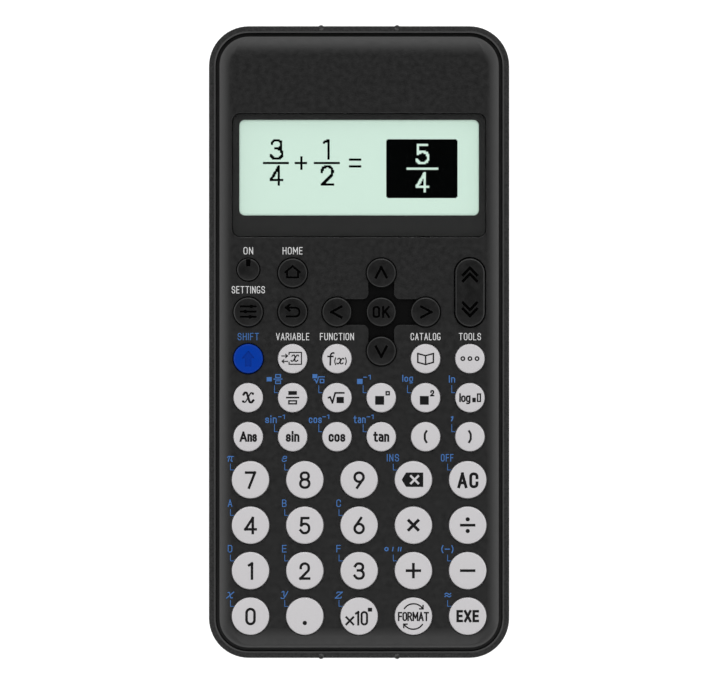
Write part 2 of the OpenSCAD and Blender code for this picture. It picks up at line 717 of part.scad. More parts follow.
// AAA cell, positive cap towards +X
module battery() {
    can_l = battery_l - cap_h;
    color("#8f9296") translate([battery_x, battery_y, battery_z]) rotate([0, 90, 0]) rotate_extrude() {
        translate([0, battery_edge_r]) square([battery_d / 2, can_l - 2 * battery_edge_r]);
        square([battery_d / 2 - battery_edge_r, can_l]);
        for (z = [battery_edge_r, can_l - battery_edge_r])
            translate([battery_d / 2 - battery_edge_r, z]) circle(battery_edge_r);
        square([cap_d / 2, battery_l]);
    }
}

// Contact plate against one end of the bay, with a tail that runs over the bay's wall to the board
module contact_plate(side) {
    tail_y = (board_top_y + view_mid_y + glass_l / 2) / 2;
    tail_l = battery_y - tail_y;
    mirror([side < 0 ? 1 : 0, 0, 0]) translate([bay_inner_w / 2 - contact_t, battery_y, 0]) {
        translate([0, -contact_w / 2, battery_z - contact_w / 2]) cube([contact_t, contact_w, contact_w]);
        translate([0, -tail_l, board_top_z]) cube([contact_t, tail_l, contact_tail_h]);
    }
}

// Positive battery contact
module battery_contact() {
    color(metal_colour) contact_plate(1);
}

// Points round the spring's wire at one step of its conical coil
function wire_ring(turn, sides) = let (
    share = turn / spring_turns,
    r = spring_d / 2 - wire_d / 2 - share * (spring_d - cap_d) / 2,
    x = wire_d / 4 + share * (spring_l - wire_d * 3 / 4),
    a = 360 * turn
) [
    for (i = [0 : sides - 1]) let (b = 360 * i / sides, rr = r + wire_d / 2 * cos(b))
        [x + wire_d / 2 * sin(b), rr * cos(a), rr * sin(a)]
];

// Conical coil spring, wide at the plate and narrow at the cell
module coil(steps_per_turn, sides) {
    steps = round(spring_turns * steps_per_turn);
    rings = [for (i = [0 : steps]) each wire_ring(i / steps_per_turn, sides)];
    skin = [
        for (i = [0 : steps - 1], j = [0 : sides - 1])
            let (a = i * sides + j, b = i * sides + (j + 1) % sides)
                each [[a, b, a + sides], [b, b + sides, a + sides]]
    ];
    start = [for (j = [1 : sides - 2]) [0, j + 1, j]];
    end = [for (j = [1 : sides - 2]) [steps * sides, steps * sides + j, steps * sides + j + 1]];
    polyhedron(rings, concat(skin, start, end));
}

// Negative battery contact: a plate and the coil spring that presses on the cell
module battery_spring() {
    color(metal_colour) {
        contact_plate(-1);
        translate([-bay_inner_w / 2 + contact_t, battery_y, battery_z]) coil(16, 8);
    }
}

// Battery cover: a plate let into the back, with a screw tongue and two hooks under the shell
module battery_cover() {
    rib_w = hook_t + cover_gap;
    color(rim_colour) difference() {
        union() {
            linear_extrude(cover_t) cover_outline(0);
            linear_extrude(tongue_t) tongue_outline(0);
            for (x = [-hook_x, hook_x])
                translate([x - hook_w / 2, bay_y + bay_inner_l - cover_gap, 0]) {
                    translate([0, -rib_w, 0]) cube([hook_w, rib_w, hook_z + cover_gap + hook_t]);
                    translate([0, -eps, hook_z + cover_gap])
                        cube([hook_w, cover_lap + cover_gap + eps, hook_t]);
                }
        }
        translate([0, tongue_y, -eps]) cylinder(d = screw_head_d + 2 * screw_clear, h = tongue_head_z + eps);
        translate([0, tongue_y, 0]) cylinder(d = screw_d + 2 * screw_clear, h = tongue_t + eps);
    }
}

// Pan-head screw with a cross recess, standing on its head
module screw(head_z, tip_z) {
    color(metal_colour) difference() {
        union() {
            translate([0, 0, head_z - screw_head_h]) cylinder(d = screw_head_d, h = screw_head_h);
            translate([0, 0, head_z - eps]) cylinder(d = screw_d, h = tip_z - head_z + eps);
        }
        for (turn = [0, 90])
            rotate(turn) translate([-driver_l / 2, -driver_w / 2, head_z - screw_head_h - eps])
                cube([driver_l, driver_w, driver_h + eps]);
    }
}

// Six screws that hold the two shells and the board together
module case_screws() {
    for (p = CASE_SCREWS)
        translate([p.x, p.y, 0]) screw(head_seat_z, screw_tip_z);
}

// Screw of the battery cover
module cover_screw() {
    translate([0, tongue_y, 0]) screw(tongue_head_z, tongue_tip_z);
}

front_case();
rear_case();
display_window();
lcd_panel();
lcd_connectors();
rubber_keypad();
circuit_board();
battery();
battery_contact();
battery_spring();
battery_cover();
cover_screw();
case_screws();
key_page();
for (key = ROUND_KEYS)
    round_key(key);
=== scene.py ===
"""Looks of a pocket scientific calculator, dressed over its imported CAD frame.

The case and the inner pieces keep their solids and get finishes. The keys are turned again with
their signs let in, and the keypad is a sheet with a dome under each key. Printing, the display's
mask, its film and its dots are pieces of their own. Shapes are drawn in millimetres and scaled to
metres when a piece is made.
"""

import logging
import math
from abc import ABC, abstractmethod
from dataclasses import dataclass
from enum import Enum
from functools import cache
from typing import ClassVar

import bmesh
import bpy
from mathutils import Matrix, Vector
from mathutils.kdtree import KDTree


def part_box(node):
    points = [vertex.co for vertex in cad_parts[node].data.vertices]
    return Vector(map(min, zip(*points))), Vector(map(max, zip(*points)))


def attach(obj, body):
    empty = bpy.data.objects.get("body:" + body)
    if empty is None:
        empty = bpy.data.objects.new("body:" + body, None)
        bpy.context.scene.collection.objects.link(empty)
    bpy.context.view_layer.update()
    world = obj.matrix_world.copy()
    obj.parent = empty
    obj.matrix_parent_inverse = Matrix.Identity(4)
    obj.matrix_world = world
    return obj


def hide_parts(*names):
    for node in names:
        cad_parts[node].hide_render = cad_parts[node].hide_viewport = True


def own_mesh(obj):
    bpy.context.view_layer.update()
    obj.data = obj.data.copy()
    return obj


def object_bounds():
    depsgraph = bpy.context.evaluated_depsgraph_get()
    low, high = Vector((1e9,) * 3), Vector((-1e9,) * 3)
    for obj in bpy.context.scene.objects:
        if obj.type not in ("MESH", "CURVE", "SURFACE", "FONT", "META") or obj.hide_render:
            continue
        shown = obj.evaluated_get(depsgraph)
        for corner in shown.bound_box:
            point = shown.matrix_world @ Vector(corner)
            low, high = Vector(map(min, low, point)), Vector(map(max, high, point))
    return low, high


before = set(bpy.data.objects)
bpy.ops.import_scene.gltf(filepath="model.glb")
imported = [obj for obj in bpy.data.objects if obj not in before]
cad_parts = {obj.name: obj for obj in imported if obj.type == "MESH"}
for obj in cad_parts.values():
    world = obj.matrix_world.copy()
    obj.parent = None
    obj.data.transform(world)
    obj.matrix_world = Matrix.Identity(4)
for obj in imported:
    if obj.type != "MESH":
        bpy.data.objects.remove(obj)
CAD_BOX = [list(corner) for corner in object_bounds()]
LOG = logging.getLogger("calculator")
MM = 0.001
CASE_BODY = "case"

# Points nearer than the first and slivers thinner than the second, in millimetres, are joined.
WELD = 1e-5
SLIVER = 1e-6

Colour = tuple[float, float, float]
Point = tuple[float, ...]
Dots = set[tuple[int, int]]
Socket = bpy.types.NodeSocket
Material = bpy.types.Material
BMesh = bmesh.types.BMesh
BMVert = bmesh.types.BMVert
BMEdge = bmesh.types.BMEdge


def linear(red: float, green: float, blue: float) -> Colour:
    """Turns a screen colour into linear light.

    Args:
        red: Red from 0 to 255.
        green: Green from 0 to 255.
        blue: Blue from 0 to 255.

    Returns:
        The same colour as three linear values from 0 to 1.
    """
    shares = (value / 255 for value in (red, green, blue))
    return tuple(s / 12.92 if s <= 0.04045 else ((s + 0.055) / 1.055) ** 2.4 for s in shares)


def shade(colour: Colour, share: float) -> Colour:
    """Gives a linear colour at a share of its light, up to white."""
    return tuple(min(1, value * share) for value in colour)


class ShaderSheet:
    """The node tree of a material or a world, with short ways to add and join its nodes."""

    noise_span: ClassVar[tuple[float, float]] = (0.3, 0.7)
    turn_span: ClassVar[tuple[float, float]] = (0.05, 0.35)

    def __init__(self, owner: Material | bpy.types.World) -> None:
        """Empties the owner's tree.

        Args:
            owner: A new material or world.
        """
        self.owner = owner
        owner.use_nodes = True
        self.tree = owner.node_tree
        self.tree.nodes.clear()

    def feed(self, socket: Socket, value: object) -> None:
        """Joins another node to an input, or sets the input's value.

        Args:
            socket: The input.
            value: The other node's output, or the value.
        """
        if isinstance(value, Socket):
            self.tree.links.new(value, socket)
        else:
            socket.default_value = value

    def add(self, kind: str, *slots: object, **values: object) -> bpy.types.Node:
        """Adds a node.

        Args:
            kind: Shader node type, without its common prefix.
            slots: What feeds its first inputs, in order.
            values: What feeds inputs by name, with underscores for spaces, and node settings.

        Returns:
            The new node.
        """
        node = self.tree.nodes.new("ShaderNode" + kind)
        for key, value in values.items():
            socket = node.inputs.get(key.replace("_", " "))
            if socket is None:
                setattr(node, key, value)
            else:
                self.feed(socket, value)
        for socket, value in zip(node.inputs, slots):
            self.feed(socket, value)
        return node

    def place(self) -> Socket:
        """Gives the object coordinates."""
        return self.add("TexCoord").outputs["Object"]

    def noise(self, size_mm: float, detail: float = 3.0) -> Socket:
        """Adds noise whose spots have a size in millimetres."""
        return self.add("TexNoise", self.place(), Scale=1 / (size_mm * MM), Detail=detail).outputs["Fac"]

    def spread(self, fac: Socket, low: float, high: float) -> Socket:
        """Spreads noise evenly between two values."""
        return self.add("MapRange", fac, *self.noise_span, low, high).outputs["Result"]

    def around(self, fac: Socket, middle: float, reach: float) -> Socket:
        """Spreads noise evenly to both sides of a value."""
        return self.spread(fac, middle - reach, middle + reach)

    def tint(self, fac: Socket, low: Colour | Socket, high: Colour) -> Socket:
        """Blends two colours by a value.

        Args:
            fac: The value.
            low: Colour, or a node's colour, where the value is 0.
            high: Colour where it is 1.

        Returns:
            The blended colour.
        """
        mix = self.add("Mix", data_type="RGBA")
        start = low if isinstance(low, Socket) else (*low, 1)
        for slot, value in ((0, fac), (6, start), (7, (*high, 1))):
            self.feed(mix.inputs[slot], value)
        return mix.outputs[2]

    def relief(self, height: Socket, depth_mm: float, strength: float = 1.0) -> bpy.types.Node:
        """Adds a bump of a depth in millimetres."""
        return self.add("Bump", Strength=strength, Distance=depth_mm * MM, Height=height)

    def inwards(self, normal: Socket) -> Socket:
        """Finds where a surface starts to face the middle of the case; this masks a painted highlight.

        Args:
            normal: Which way the surface faces.

        Returns:
            A value that rises from 0 to 1 there.
        """
        half = [(high - low) / 2 for low, high in zip(*CAD_BOX)]
        to_middle = (-1 / half[0], -1 / half[1], 0)
        way = self.add("VectorMath", self.place(), to_middle, operation="MULTIPLY").outputs[0]
        turn = self.add("VectorMath", way, normal, operation="DOT_PRODUCT").outputs["Value"]
        return self.add("MapRange", turn, *self.turn_span).outputs["Result"]

    def either(self, *rays: str) -> Socket:
        """Tells some kinds of ray from the others.

        Args:
            rays: Names of the light path's outputs.

        Returns:
            A value of 1 for these rays and 0 for the others.
        """
        path = self.add("LightPath").outputs
        found = path[rays[0]]
        for ray in rays[1:]:
            found = self.add("Math", found, path[ray], operation="MAXIMUM").outputs[0]
        return found

    def surface(self, **values: object) -> Material:
        """Ends the tree in a principled shader with these inputs."""
        return self.finish(self.add("BsdfPrincipled", **values))

    def finish(self, shader: bpy.types.Node) -> Material | bpy.types.World:
        """Joins the last shader to an output.

        Args:
            shader: The last shader.

        Returns:
            The finished owner.
        """
        kind = "OutputWorld" if isinstance(self.owner, bpy.types.World) else "OutputMaterial"
        self.add(kind, shader.outputs[0])
        return self.owner


@dataclass(frozen=True)
class Finish(ABC):
    """A surface finish that makes its material once."""

    name: str
    made: ClassVar[dict[str, Material]] = {}

    @property
    def material(self) -> Material:
        """The finish's material, made at its first use.

        Returns:
            The material.
        """
        if self.name not in Finish.made:
            Finish.made[self.name] = self.build(ShaderSheet(bpy.data.materials.new(self.name)))
        return Finish.made[self.name]

    @abstractmethod
    def build(self, sheet: ShaderSheet) -> Material:
        """Builds the material on an empty sheet."""


@dataclass(frozen=True)
class MouldedPlastic(Finish):
    """Moulded plastic with a fine spark-eroded grain and softly broken edges.

    Attributes:
        colour: Screen colour from 0 to 255.
        roughness: Mean roughness.
        grain_mm: Size of the grain.
        grain_depth: Depth of the grain in millimetres.
        mottle: Share by which the grain lightens and darkens the colour.
        edge_mm: Radius that softens every edge.
        shine: Specular level.
        painted_highlight: Share by which the edges that face the middle are lightened, a painted
            highlight.
        cloud: How many times wider than the grain the gloss varies.
        cloud_detail: Detail of that spread.
        gloss_spread: How far the roughness varies to either side.
        edge_samples: Samples that find the edges.
    """

    colour: Colour = (45, 45, 45)
    roughness: float = 0.45
    grain_mm: float = 0.12
    grain_depth: float = 0.002
    mottle: float = 0.06
    edge_mm: float = 0.12
    shine: float = 0.5
    painted_highlight: float = 0.0
    cloud: float = 14
    cloud_detail: float = 4
    gloss_spread: float = 0.05
    edge_samples: int = 6

    def build(self, sheet: ShaderSheet) -> Material:
        """Builds grain, colour spread, roughness spread and edge softening.

        Args:
            sheet: The empty sheet.

        Returns:
            The material.
        """
        base = linear(*self.colour)
        grain = sheet.noise(self.grain_mm)
        cloud = sheet.noise(self.grain_mm * self.cloud, self.cloud_detail)
        soft = sheet.add("Bevel", samples=self.edge_samples, Radius=self.edge_mm * MM).outputs[0]
        bump = sheet.relief(grain, self.grain_depth)
        sheet.feed(bump.inputs["Normal"], soft)
        dark, light = shade(base, 1 - self.mottle), shade(base, 1 + self.mottle)
        colour = sheet.tint(sheet.spread(grain, 0, 1), dark, light)
        # Painted highlight: the edges that face the middle of the case are lightened.
        if self.painted_highlight:
            colour = sheet.tint(sheet.inwards(soft), colour, shade(base, 1 + self.painted_highlight))
        return sheet.surface(
            Base_Color=colour,
            Roughness=sheet.around(cloud, self.roughness, self.gloss_spread),
            Specular_IOR_Level=self.shine,
            Normal=bump.outputs[0],
        )


@dataclass(frozen=True)
class PrintedInk(Finish):
    """Pad-printed ink, a little uneven in cover.

    Attributes:
        colour: Screen colour from 0 to 255.
        roughness: Mean roughness.
        shine: Specular level.
        gloss_spread: How far the roughness varies to either side.
        thin: Share of the colour left where the cover is thin.
        spot_mm: Size of the thin spots.
        spot_detail: Detail of the thin spots.
    """

    colour: Colour = (225, 225, 225)
    roughness: float = 0.5
    shine: float = 0.3
    gloss_spread: float = 0.06
    thin: float = 0.9
    spot_mm: float = 0.15
    spot_detail: float = 2

    def build(self, sheet: ShaderSheet) -> Material:
        """Builds ink whose cover thins in fine spots.

        Args:
            sheet: The empty sheet.

        Returns:
            The material.
        """
        base = linear(*self.colour)
        cover = sheet.noise(self.spot_mm, self.spot_detail)
        return sheet.surface(
            Base_Color=sheet.tint(sheet.spread(cover, 0, 1), shade(base, self.thin), base),
            Roughness=sheet.around(cover, self.roughness, self.gloss_spread),
            Specular_IOR_Level=self.shine,
        )


@dataclass(frozen=True)
class ClearAcrylic(Finish):
    """Clear window, coated against glare, that lets lamps reach what is behind it.

    Attributes:
        ior: How far the coated window bends and mirrors light.
        tone: Share of each colour that passes.
        peel_mm: Size of the orange-peel.
        peel_depth: Depth of the orange-peel in millimetres.
        haze_mm: Size of the spots in which the gloss varies.
        haze: Least and most roughness.
    """

    ior: float = 1.22
    tone: Colour = (0.97, 0.985, 0.975)
    peel_mm: float = 2.5
    peel_depth: float = 0.0004
    haze_mm: float = 6.0
    haze: tuple[float, float] = (0.02, 0.05)

    def build(self, sheet: ShaderSheet) -> Material:
        """Builds glass with a faint orange-peel, and clear for shadow and diffuse rays.

        Args:
            sheet: The empty sheet.

        Returns:
            The material.
        """
        tone = (*self.tone, 1)
        glass = sheet.add(
            "BsdfPrincipled",
            Base_Color=tone,
            Roughness=sheet.spread(sheet.noise(self.haze_mm), *self.haze),
            IOR=self.ior,
            Transmission_Weight=1.0,
            Normal=sheet.relief(sheet.noise(self.peel_mm, 1), self.peel_depth).outputs[0],
        )
        clear = sheet.add("BsdfTransparent", Color=tone)
        passing = sheet.either("Is Shadow Ray", "Is Diffuse Ray")
        return sheet.finish(sheet.add("MixShader", passing, glass.outputs[0], clear.outputs[0]))


@dataclass(frozen=True)
class DisplayGlass(Finish):
    """Reflective display glass with a faint lattice of unlit dots.

    Attributes:
        colour: Screen colour of the bare display.
        pitch_mm: Spacing of the dots.
        wave_scale: Scale at which a wave repeats once in a unit.
        dot_tone: Share of the colour left on an unlit dot.
        silk_mm: Size of the polariser's grain.
        silk: Its least and most roughness.
        shine: Specular level.
    """

    colour: Colour = (207, 231, 218)
    pitch_mm: float = 0.29
    wave_scale: float = 0.314
    dot_tone: float = 0.975
    silk_mm: float = 0.4
    silk: tuple[float, float] = (0.42, 0.5)
    shine: float = 0.3

    def build(self, sheet: ShaderSheet) -> Material:
        """Builds the pale ground, the lattice and a silky polariser.

        Args:
            sheet: The empty sheet.

        Returns:
            The material.
        """
        base = linear(*self.colour)
        scale = self.wave_scale / (self.pitch_mm * MM)
        waves = [
            sheet.add("TexWave", sheet.place(), bands_direction=way, Scale=scale, Distortion=0.0)
            for way in ("X", "Y")
        ]
        lattice = sheet.add("Math", *(w.outputs["Fac"] for w in waves), operation="MAXIMUM").outputs[0]
        return sheet.surface(
            Base_Color=sheet.tint(lattice, shade(base, self.dot_tone), base),
            Roughness=sheet.spread(sheet.noise(self.silk_mm), *self.silk),
            Specular_IOR_Level=self.shine,
        )


@dataclass(frozen=True)
class SheetMetal(Finish):
    """Plated or bare metal with fine drawn lines along one axis.

    Attributes:
        colour: Screen colour of the metal.
        roughness: Mean roughness.
        stretch: How much longer the lines are than they are wide.
        line_mm: Width of the lines.
        line_depth: Depth of the lines in millimetres.
        line_strength: Strength of their relief.
        line_tone: Share of the colour left in a line.
        gloss_spread: How far the roughness varies to either side.
    """

    colour: Colour = (188, 190, 194)
    roughness: float = 0.28
    stretch: float = 12.0
    line_mm: float = 0.05
    line_depth: float = 0.001
    line_strength: float = 0.6
    line_tone: float = 0.86
    gloss_spread: float = 0.08

    def build(self, sheet: ShaderSheet) -> Material:
        """Builds drawn lines in roughness and relief.

        Args:
            sheet: The empty sheet.

        Returns:
            The material.
        """
        base = linear(*self.colour)
        lines = sheet.add("Mapping", sheet.place(), Scale=(1 / self.stretch, 1, 1)).outputs[0]
        grain = sheet.add("TexNoise", lines, Scale=1 / (self.line_mm * MM), Detail=3.0).outputs["Fac"]
        return sheet.surface(
            Base_Color=sheet.tint(sheet.spread(grain, 0, 1), shade(base, self.line_tone), base),
            Metallic=1.0,
            Roughness=sheet.around(grain, self.roughness, self.gloss_spread),
            Normal=sheet.relief(grain, self.line_depth, self.line_strength).outputs[0],
        )


@dataclass(frozen=True)
class BoardLaminate(Finish):
    """Green solder mask over a weave of glass.

    Attributes:
        colour: Screen colour of the mask.
        weave_mm: Width of a strand.
        weave_depth: Depth of the weave in millimetres.
        weave_strength: Strength of its relief.
        weave_tone: Share of the colour left on every other strand.
        gloss_mm: Size of the spots in which the gloss varies.
        gloss: Least and most roughness.
    """

    colour: Colour = (36, 92, 58)
    weave_mm: float = 0.5
    weave_depth: float = 0.004
    weave_strength: float = 0.5
    weave_tone: float = 0.8
    gloss_mm: float = 0.8
    gloss: tuple[float, float] = (0.28, 0.42)

    def build(self, sheet: ShaderSheet) -> Material:
        """Builds the weave and the mask's colour.

        Args:
            sheet: The empty sheet.

        Returns:
            The material.
        """
        base = linear(*self.colour)
        weave = sheet.add("TexChecker", sheet.place(), Scale=1 / (self.weave_mm * MM)).outputs["Fac"]
        return sheet.surface(
            Base_Color=sheet.tint(weave, shade(base, self.weave_tone), base),
            Roughness=sheet.spread(sheet.noise(self.gloss_mm), *self.gloss),
            Normal=sheet.relief(weave, self.weave_depth, self.weave_strength).outputs[0],
        )


@dataclass(frozen=True)
class CellJacket(Finish):
    """Printed jacket of a dry cell: a dark sleeve with a metal-coloured positive end.

    Attributes:
        split_x: Place along X, in millimetres, where the sleeve changes colour.
        seam: Half the width of that change.
        sleeve: Screen colour of the sleeve.
        end: Screen colour of the positive end.
        foil_mm: Size of the foil's grain.
        gloss: Least and most roughness.
    """

    split_x: float = 11.0
    seam: float = 0.05
    sleeve: Colour = (40, 42, 48)
    end: Colour = (176, 142, 84)
    foil_mm: float = 0.2
    gloss: tuple[float, float] = (0.25, 0.4)

    def build(self, sheet: ShaderSheet) -> Material:
        """Builds the two bands and a fine foil grain.

        Args:
            sheet: The empty sheet.

        Returns:
            The material.
        """
        along = sheet.add("SeparateXYZ", sheet.place()).outputs["X"]
        ends = ((self.split_x + side * self.seam) * MM for side in (-1, 1))
        band = sheet.add("MapRange", along, *ends).outputs["Result"]
        return sheet.surface(
            Base_Color=sheet.tint(band, linear(*self.sleeve), linear(*self.end)),
            Metallic=band,
            Roughness=sheet.spread(sheet.noise(self.foil_mm), *self.gloss),
        )


class Look(Enum):
    """The finishes of this calculator."""

    FACE = MouldedPlastic("face_black", (11, 11, 11), 0.38, 0.1, 0.0016, 0.04, 0.16, 0.52)
    # The rim's last value lightens its edges that face the middle, a painted highlight.
    RIM = MouldedPlastic("rim_black", (46, 46, 46), 0.4, 0.5, 0.03, 0.4, 0.14, 0.12, 2.4)
    DARK_KEY = MouldedPlastic("key_dark", (4, 4, 4), 0.34, 0.14, 0.0012, 0.05, 0.1, 0.45)
    # Painted shade: near-black, almost unreflecting plastic that blackens the dark keys' cut signs.
    CUT = MouldedPlastic("key_sign_cut", (1, 1, 1), 0.8, 0.1, 0.002, 0.1, 0.02, 0.02)
    # Painted shade: a near-black finish for the sheet on the arrow keys' recess floor and the window
    # mask's outer line.
    RECESS = MouldedPlastic("recess_floor", (8, 8, 8), 0.6, 0.1, 0.002, 0.08, 0.02, 0.06)
    BLUE_KEY = MouldedPlastic("key_blue", (0, 52, 150), 0.36, 0.14, 0.0012, 0.05, 0.08, 0.1)
    # Painted shade: a darker copy of the blue key's plastic in its cut sign.
    BLUE_CUT = MouldedPlastic("key_blue_cut", (0, 46, 138), 0.4, 0.1, 0.001, 0.06, 0.08, 0.1)
    PALE_KEY = MouldedPlastic("key_pale", (194, 192, 194), 0.44, 0.18, 0.0014, 0.02, 0.08, 0.4)
    RUBBER = MouldedPlastic("rubber_grey", (92, 92, 95), 0.72, 0.3, 0.006, 0.1, 0.15, 0.25)
    MASK = MouldedPlastic("window_mask", (31, 31, 31), 0.5, 0.2, 0.0006, 0.04, 0.02, 0.2)
    STRIP = MouldedPlastic("connector_strip", (106, 110, 118), 0.6, 0.2, 0.004, 0.15, 0.1, 0.3)
    WHITE_INK = PrintedInk("ink_white", (217, 217, 217))
    BLUE_INK = PrintedInk("ink_blue", (62, 109, 172))
    BLACK_INK = PrintedInk("ink_black", (12, 12, 13), 0.42, 0.2)
    DOT_INK = PrintedInk("display_dots", (1, 2, 2), 0.9, 0.0)
    WINDOW = ClearAcrylic("window_clear")
    DISPLAY = DisplayGlass("lcd_glass", (212, 233, 222))
    STEEL = SheetMetal("plated_steel")
    BOARD = BoardLaminate("board_green")
    CELL = CellJacket("cell_jacket")

    @property
    def material(self) -> Material:
        """The finish's material."""
        return self.value.material


@dataclass(frozen=True)
class Stroke:
    """One pen stroke: corners in millimetres, each with an optional radius as its third value."""

    points: tuple[Point, ...]
    closed: bool = False
    bend_step: ClassVar[float] = 0.26

    @staticmethod
    def box(x: float, y: float, w: float, h: float, r: float = 0.0) -> "Stroke":
        """Gives a closed rectangle about a middle point, with a radius at its corners."""
        ways = ((-1, -1), (1, -1), (1, 1), (-1, 1))
        return Stroke(tuple((x + sx * w / 2, y + sy * h / 2, r) for sx, sy in ways), True)

    @staticmethod
    def read(drawn: str) -> "list[Stroke]":
        """Reads strokes written as corners.

        Args:
            drawn: Corners as "x,y" or "x,y,radius"; a bar parts strokes and a z closes one.

        Returns:
            The strokes in order.
        """
        found = []
        for part in drawn.split("|"):
            words = part.split()
            closed = words[-1] == "z"
            corners = words[:-1] if closed else words
            found.append(Stroke(tuple(tuple(map(float, w.split(","))) for w in corners), closed))
        return found

    def fitted(self, scale: Point, move: Point, slant: float = 0.0) -> "Stroke":
        """Scales, slants and moves the stroke.

        Args:
            scale: Factors along x and y; radii take the smaller.
            move: Shift along x and y.
            slant: Shift along x for each unit of height.

        Returns:
            The stroke in its new place.
        """
        least = min(abs(scale[0]), abs(scale[1]))
        points = tuple(
            (
                p[0] * scale[0] + slant * p[1] * scale[1] + move[0],
                p[1] * scale[1] + move[1],
                *(r * least for r in p[2:]),
            )
            for p in self.points
        )
        return Stroke(points, self.closed)

    def path(self) -> list[Vector]:
        """Rounds the corners that carry a radius.

        Returns:
            Points along the stroke's middle line, close together in its bends.
        """
        spots = [Vector((p[0], p[1], 0)) for p in self.points]
        last = len(spots) - 1
        out: list[Vector] = []
        for i, corner in enumerate(self.points):
            radius = corner[2] if len(corner) > 2 else 0
            if not radius or (not self.closed and i in (0, last)):
                out.append(spots[i])
                continue
            back = (spots[i - 1] - spots[i]).normalized()
            ahead = (spots[(i + 1) % (last + 1)] - spots[i]).normalized()
            half = back.angle(ahead) / 2
            middle = spots[i] + (back + ahead).normalized() * radius / math.sin(half)
            start = spots[i] + back * radius / math.tan(half) - middle
            sweep = (math.pi - 2 * half) * math.copysign(1, -back.cross(ahead).z)
            steps = max(2, math.ceil(abs(sweep) / self.bend_step))
            turns = (Matrix.Rotation(sweep * k / steps, 3, "Z") for k in range(steps + 1))
            out.extend(middle + turn @ start for turn in turns)
        return out


def picked(made: list[object], kind: type) -> list:
    """Gives what is of one kind among what an operator made."""
    return [item for item in made if isinstance(item, kind)]


def thicken(bm: BMesh, thickness: float) -> None:
    """Makes flat faces a closed layer.

    Args:
        bm: The mesh with the faces.
        thickness: How far their copy is raised.
    """
    top = picked(bmesh.ops.extrude_face_region(bm, geom=bm.faces[:])["geom"], BMVert)
    bmesh.ops.translate(bm, verts=top, vec=(0, 0, thickness))
    bmesh.ops.recalc_face_normals(bm, faces=bm.faces)


class Pen:
    """Draws flat ribbons and patches into a bmesh, in millimetres."""

    sharp: ClassVar[float] = 0.68
    layers: ClassVar[int] = 4
    round_steps: ClassVar[int] = 28

    def __init__(self, step: float) -> None:
        """Starts an empty sheet.

        Args:
            step: How far each ribbon lies over the one before, so that no two faces coincide.
        """
        self.bm = bmesh.new()
        self.step = step
        self.drawn = 0

    def stroke(self, stroke: Stroke, line: float) -> None:
        """Draws a stroke as ribbons that end square and part at sharp corners.

        Args:
            stroke: The stroke to follow.
            line: Width of the ribbons.
        """
        path = stroke.path()
        path = [p for i, p in enumerate(path) if i == 0 or (p - path[i - 1]).length > WELD]
        if stroke.closed and (path[0] - path[-1]).length < WELD:
            path.pop()
        count = len(path)
        inner = range(count) if stroke.closed else range(1, count - 1)
        turns = {i: self.bend(path[i - 1], path[i], path[(i + 1) % count])[1] for i in inner}
        breaks = [i for i, turn in turns.items() if turn < self.sharp]
        if stroke.closed and not breaks:
            self.ribbon([path[-1], *path, path[0], path[1]], line, True)
            return
        if stroke.closed:
            path = [*path[breaks[0] :], *path[: breaks[0] + 1]]
            breaks = [i - breaks[0] for i in breaks[1:]]
        ends = [0, *breaks, len(path) - 1]
        for first, last in zip(ends, ends[1:]):
            self.ribbon(path[first : last + 1], line, False)

    @staticmethod
    def bend(before: Vector, here: Vector, after: Vector) -> tuple[Vector, float]:
        """Finds how a path turns at a point.

        Args:
            before: The point before.
            here: The point.
            after: The point after.

        Returns:
            The way along the path, and the cosine of half its turn.
        """
        into, out = (here - before).normalized(), (after - here).normalized()
        along = (into + out).normalized()
        return along, along.dot(into)

    def ribbon(self, path: list[Vector], line: float, closed: bool) -> None:
        """Draws one ribbon.

        Args:
            path: Its middle line; a closed one overlaps by a point at its start and two at its end.
            line: Its width.
            closed: Whether its end joins its start.
        """
        if not closed:
            head = path[0] + (path[0] - path[1]).normalized() * line / 2
            tail = path[-1] + (path[-1] - path[-2]).normalized() * line / 2
            path = [head * 2 - path[1], head, *path[1:-1], tail, tail * 2 - path[-2]]
        lift = Vector((0, 0, self.drawn % self.layers * self.step))
        self.drawn += 1
        first: list[BMVert] = []
        nib: list[BMVert] = []
        for before, here, after in zip(path, path[1:], path[2:]):
            along, turn = self.bend(before, here, after)
            across = Vector((-along.y, along.x, 0)) * line / 2 / turn
            nib = self.advance(nib, (here + lift + across, here + lift - across))
            first = first or nib
        if closed:
            bmesh.ops.remove_doubles(self.bm, verts=[*first, *nib], dist=WELD)

    def advance(self, nib: list[BMVert], ends: tuple[Vector, Vector]) -> list[BMVert]:
        """Pulls the nib on to its next place.

        Args:
            nib: The two vertices of the ribbon's last edge, or none at its start.
            ends: Where the nib's two ends go.

        Returns:
            The two vertices of the new edge.
        """
        if not nib:
            start = [self.bm.verts.new(p) for p in ends]
            self.bm.edges.new(start)
            return start
        edge = self.bm.edges.get(nib)
        made = bmesh.ops.extrude_edge_only(self.bm, edges=[edge])["geom"]
        fresh = picked(made, BMVert)
        fresh.sort(key=lambda v: (v.co - nib[0].co).length)
        for vert, spot in zip(fresh, ends):
            vert.co = spot
        return fresh

    def patch(self, stroke: Stroke) -> None:
        """Fills the area inside a stroke."""
        self.bm.faces.new([self.bm.verts.new(p) for p in stroke.path()])

    def disc(self, x: float, y: float, d: float) -> None:
        """Fills a round spot."""
        bmesh.ops.create_circle(
            self.bm,
            cap_ends=True,
            segments=self.round_steps,
            radius=d / 2,
            matrix=Matrix.Translation((x, y, 0)),
        )


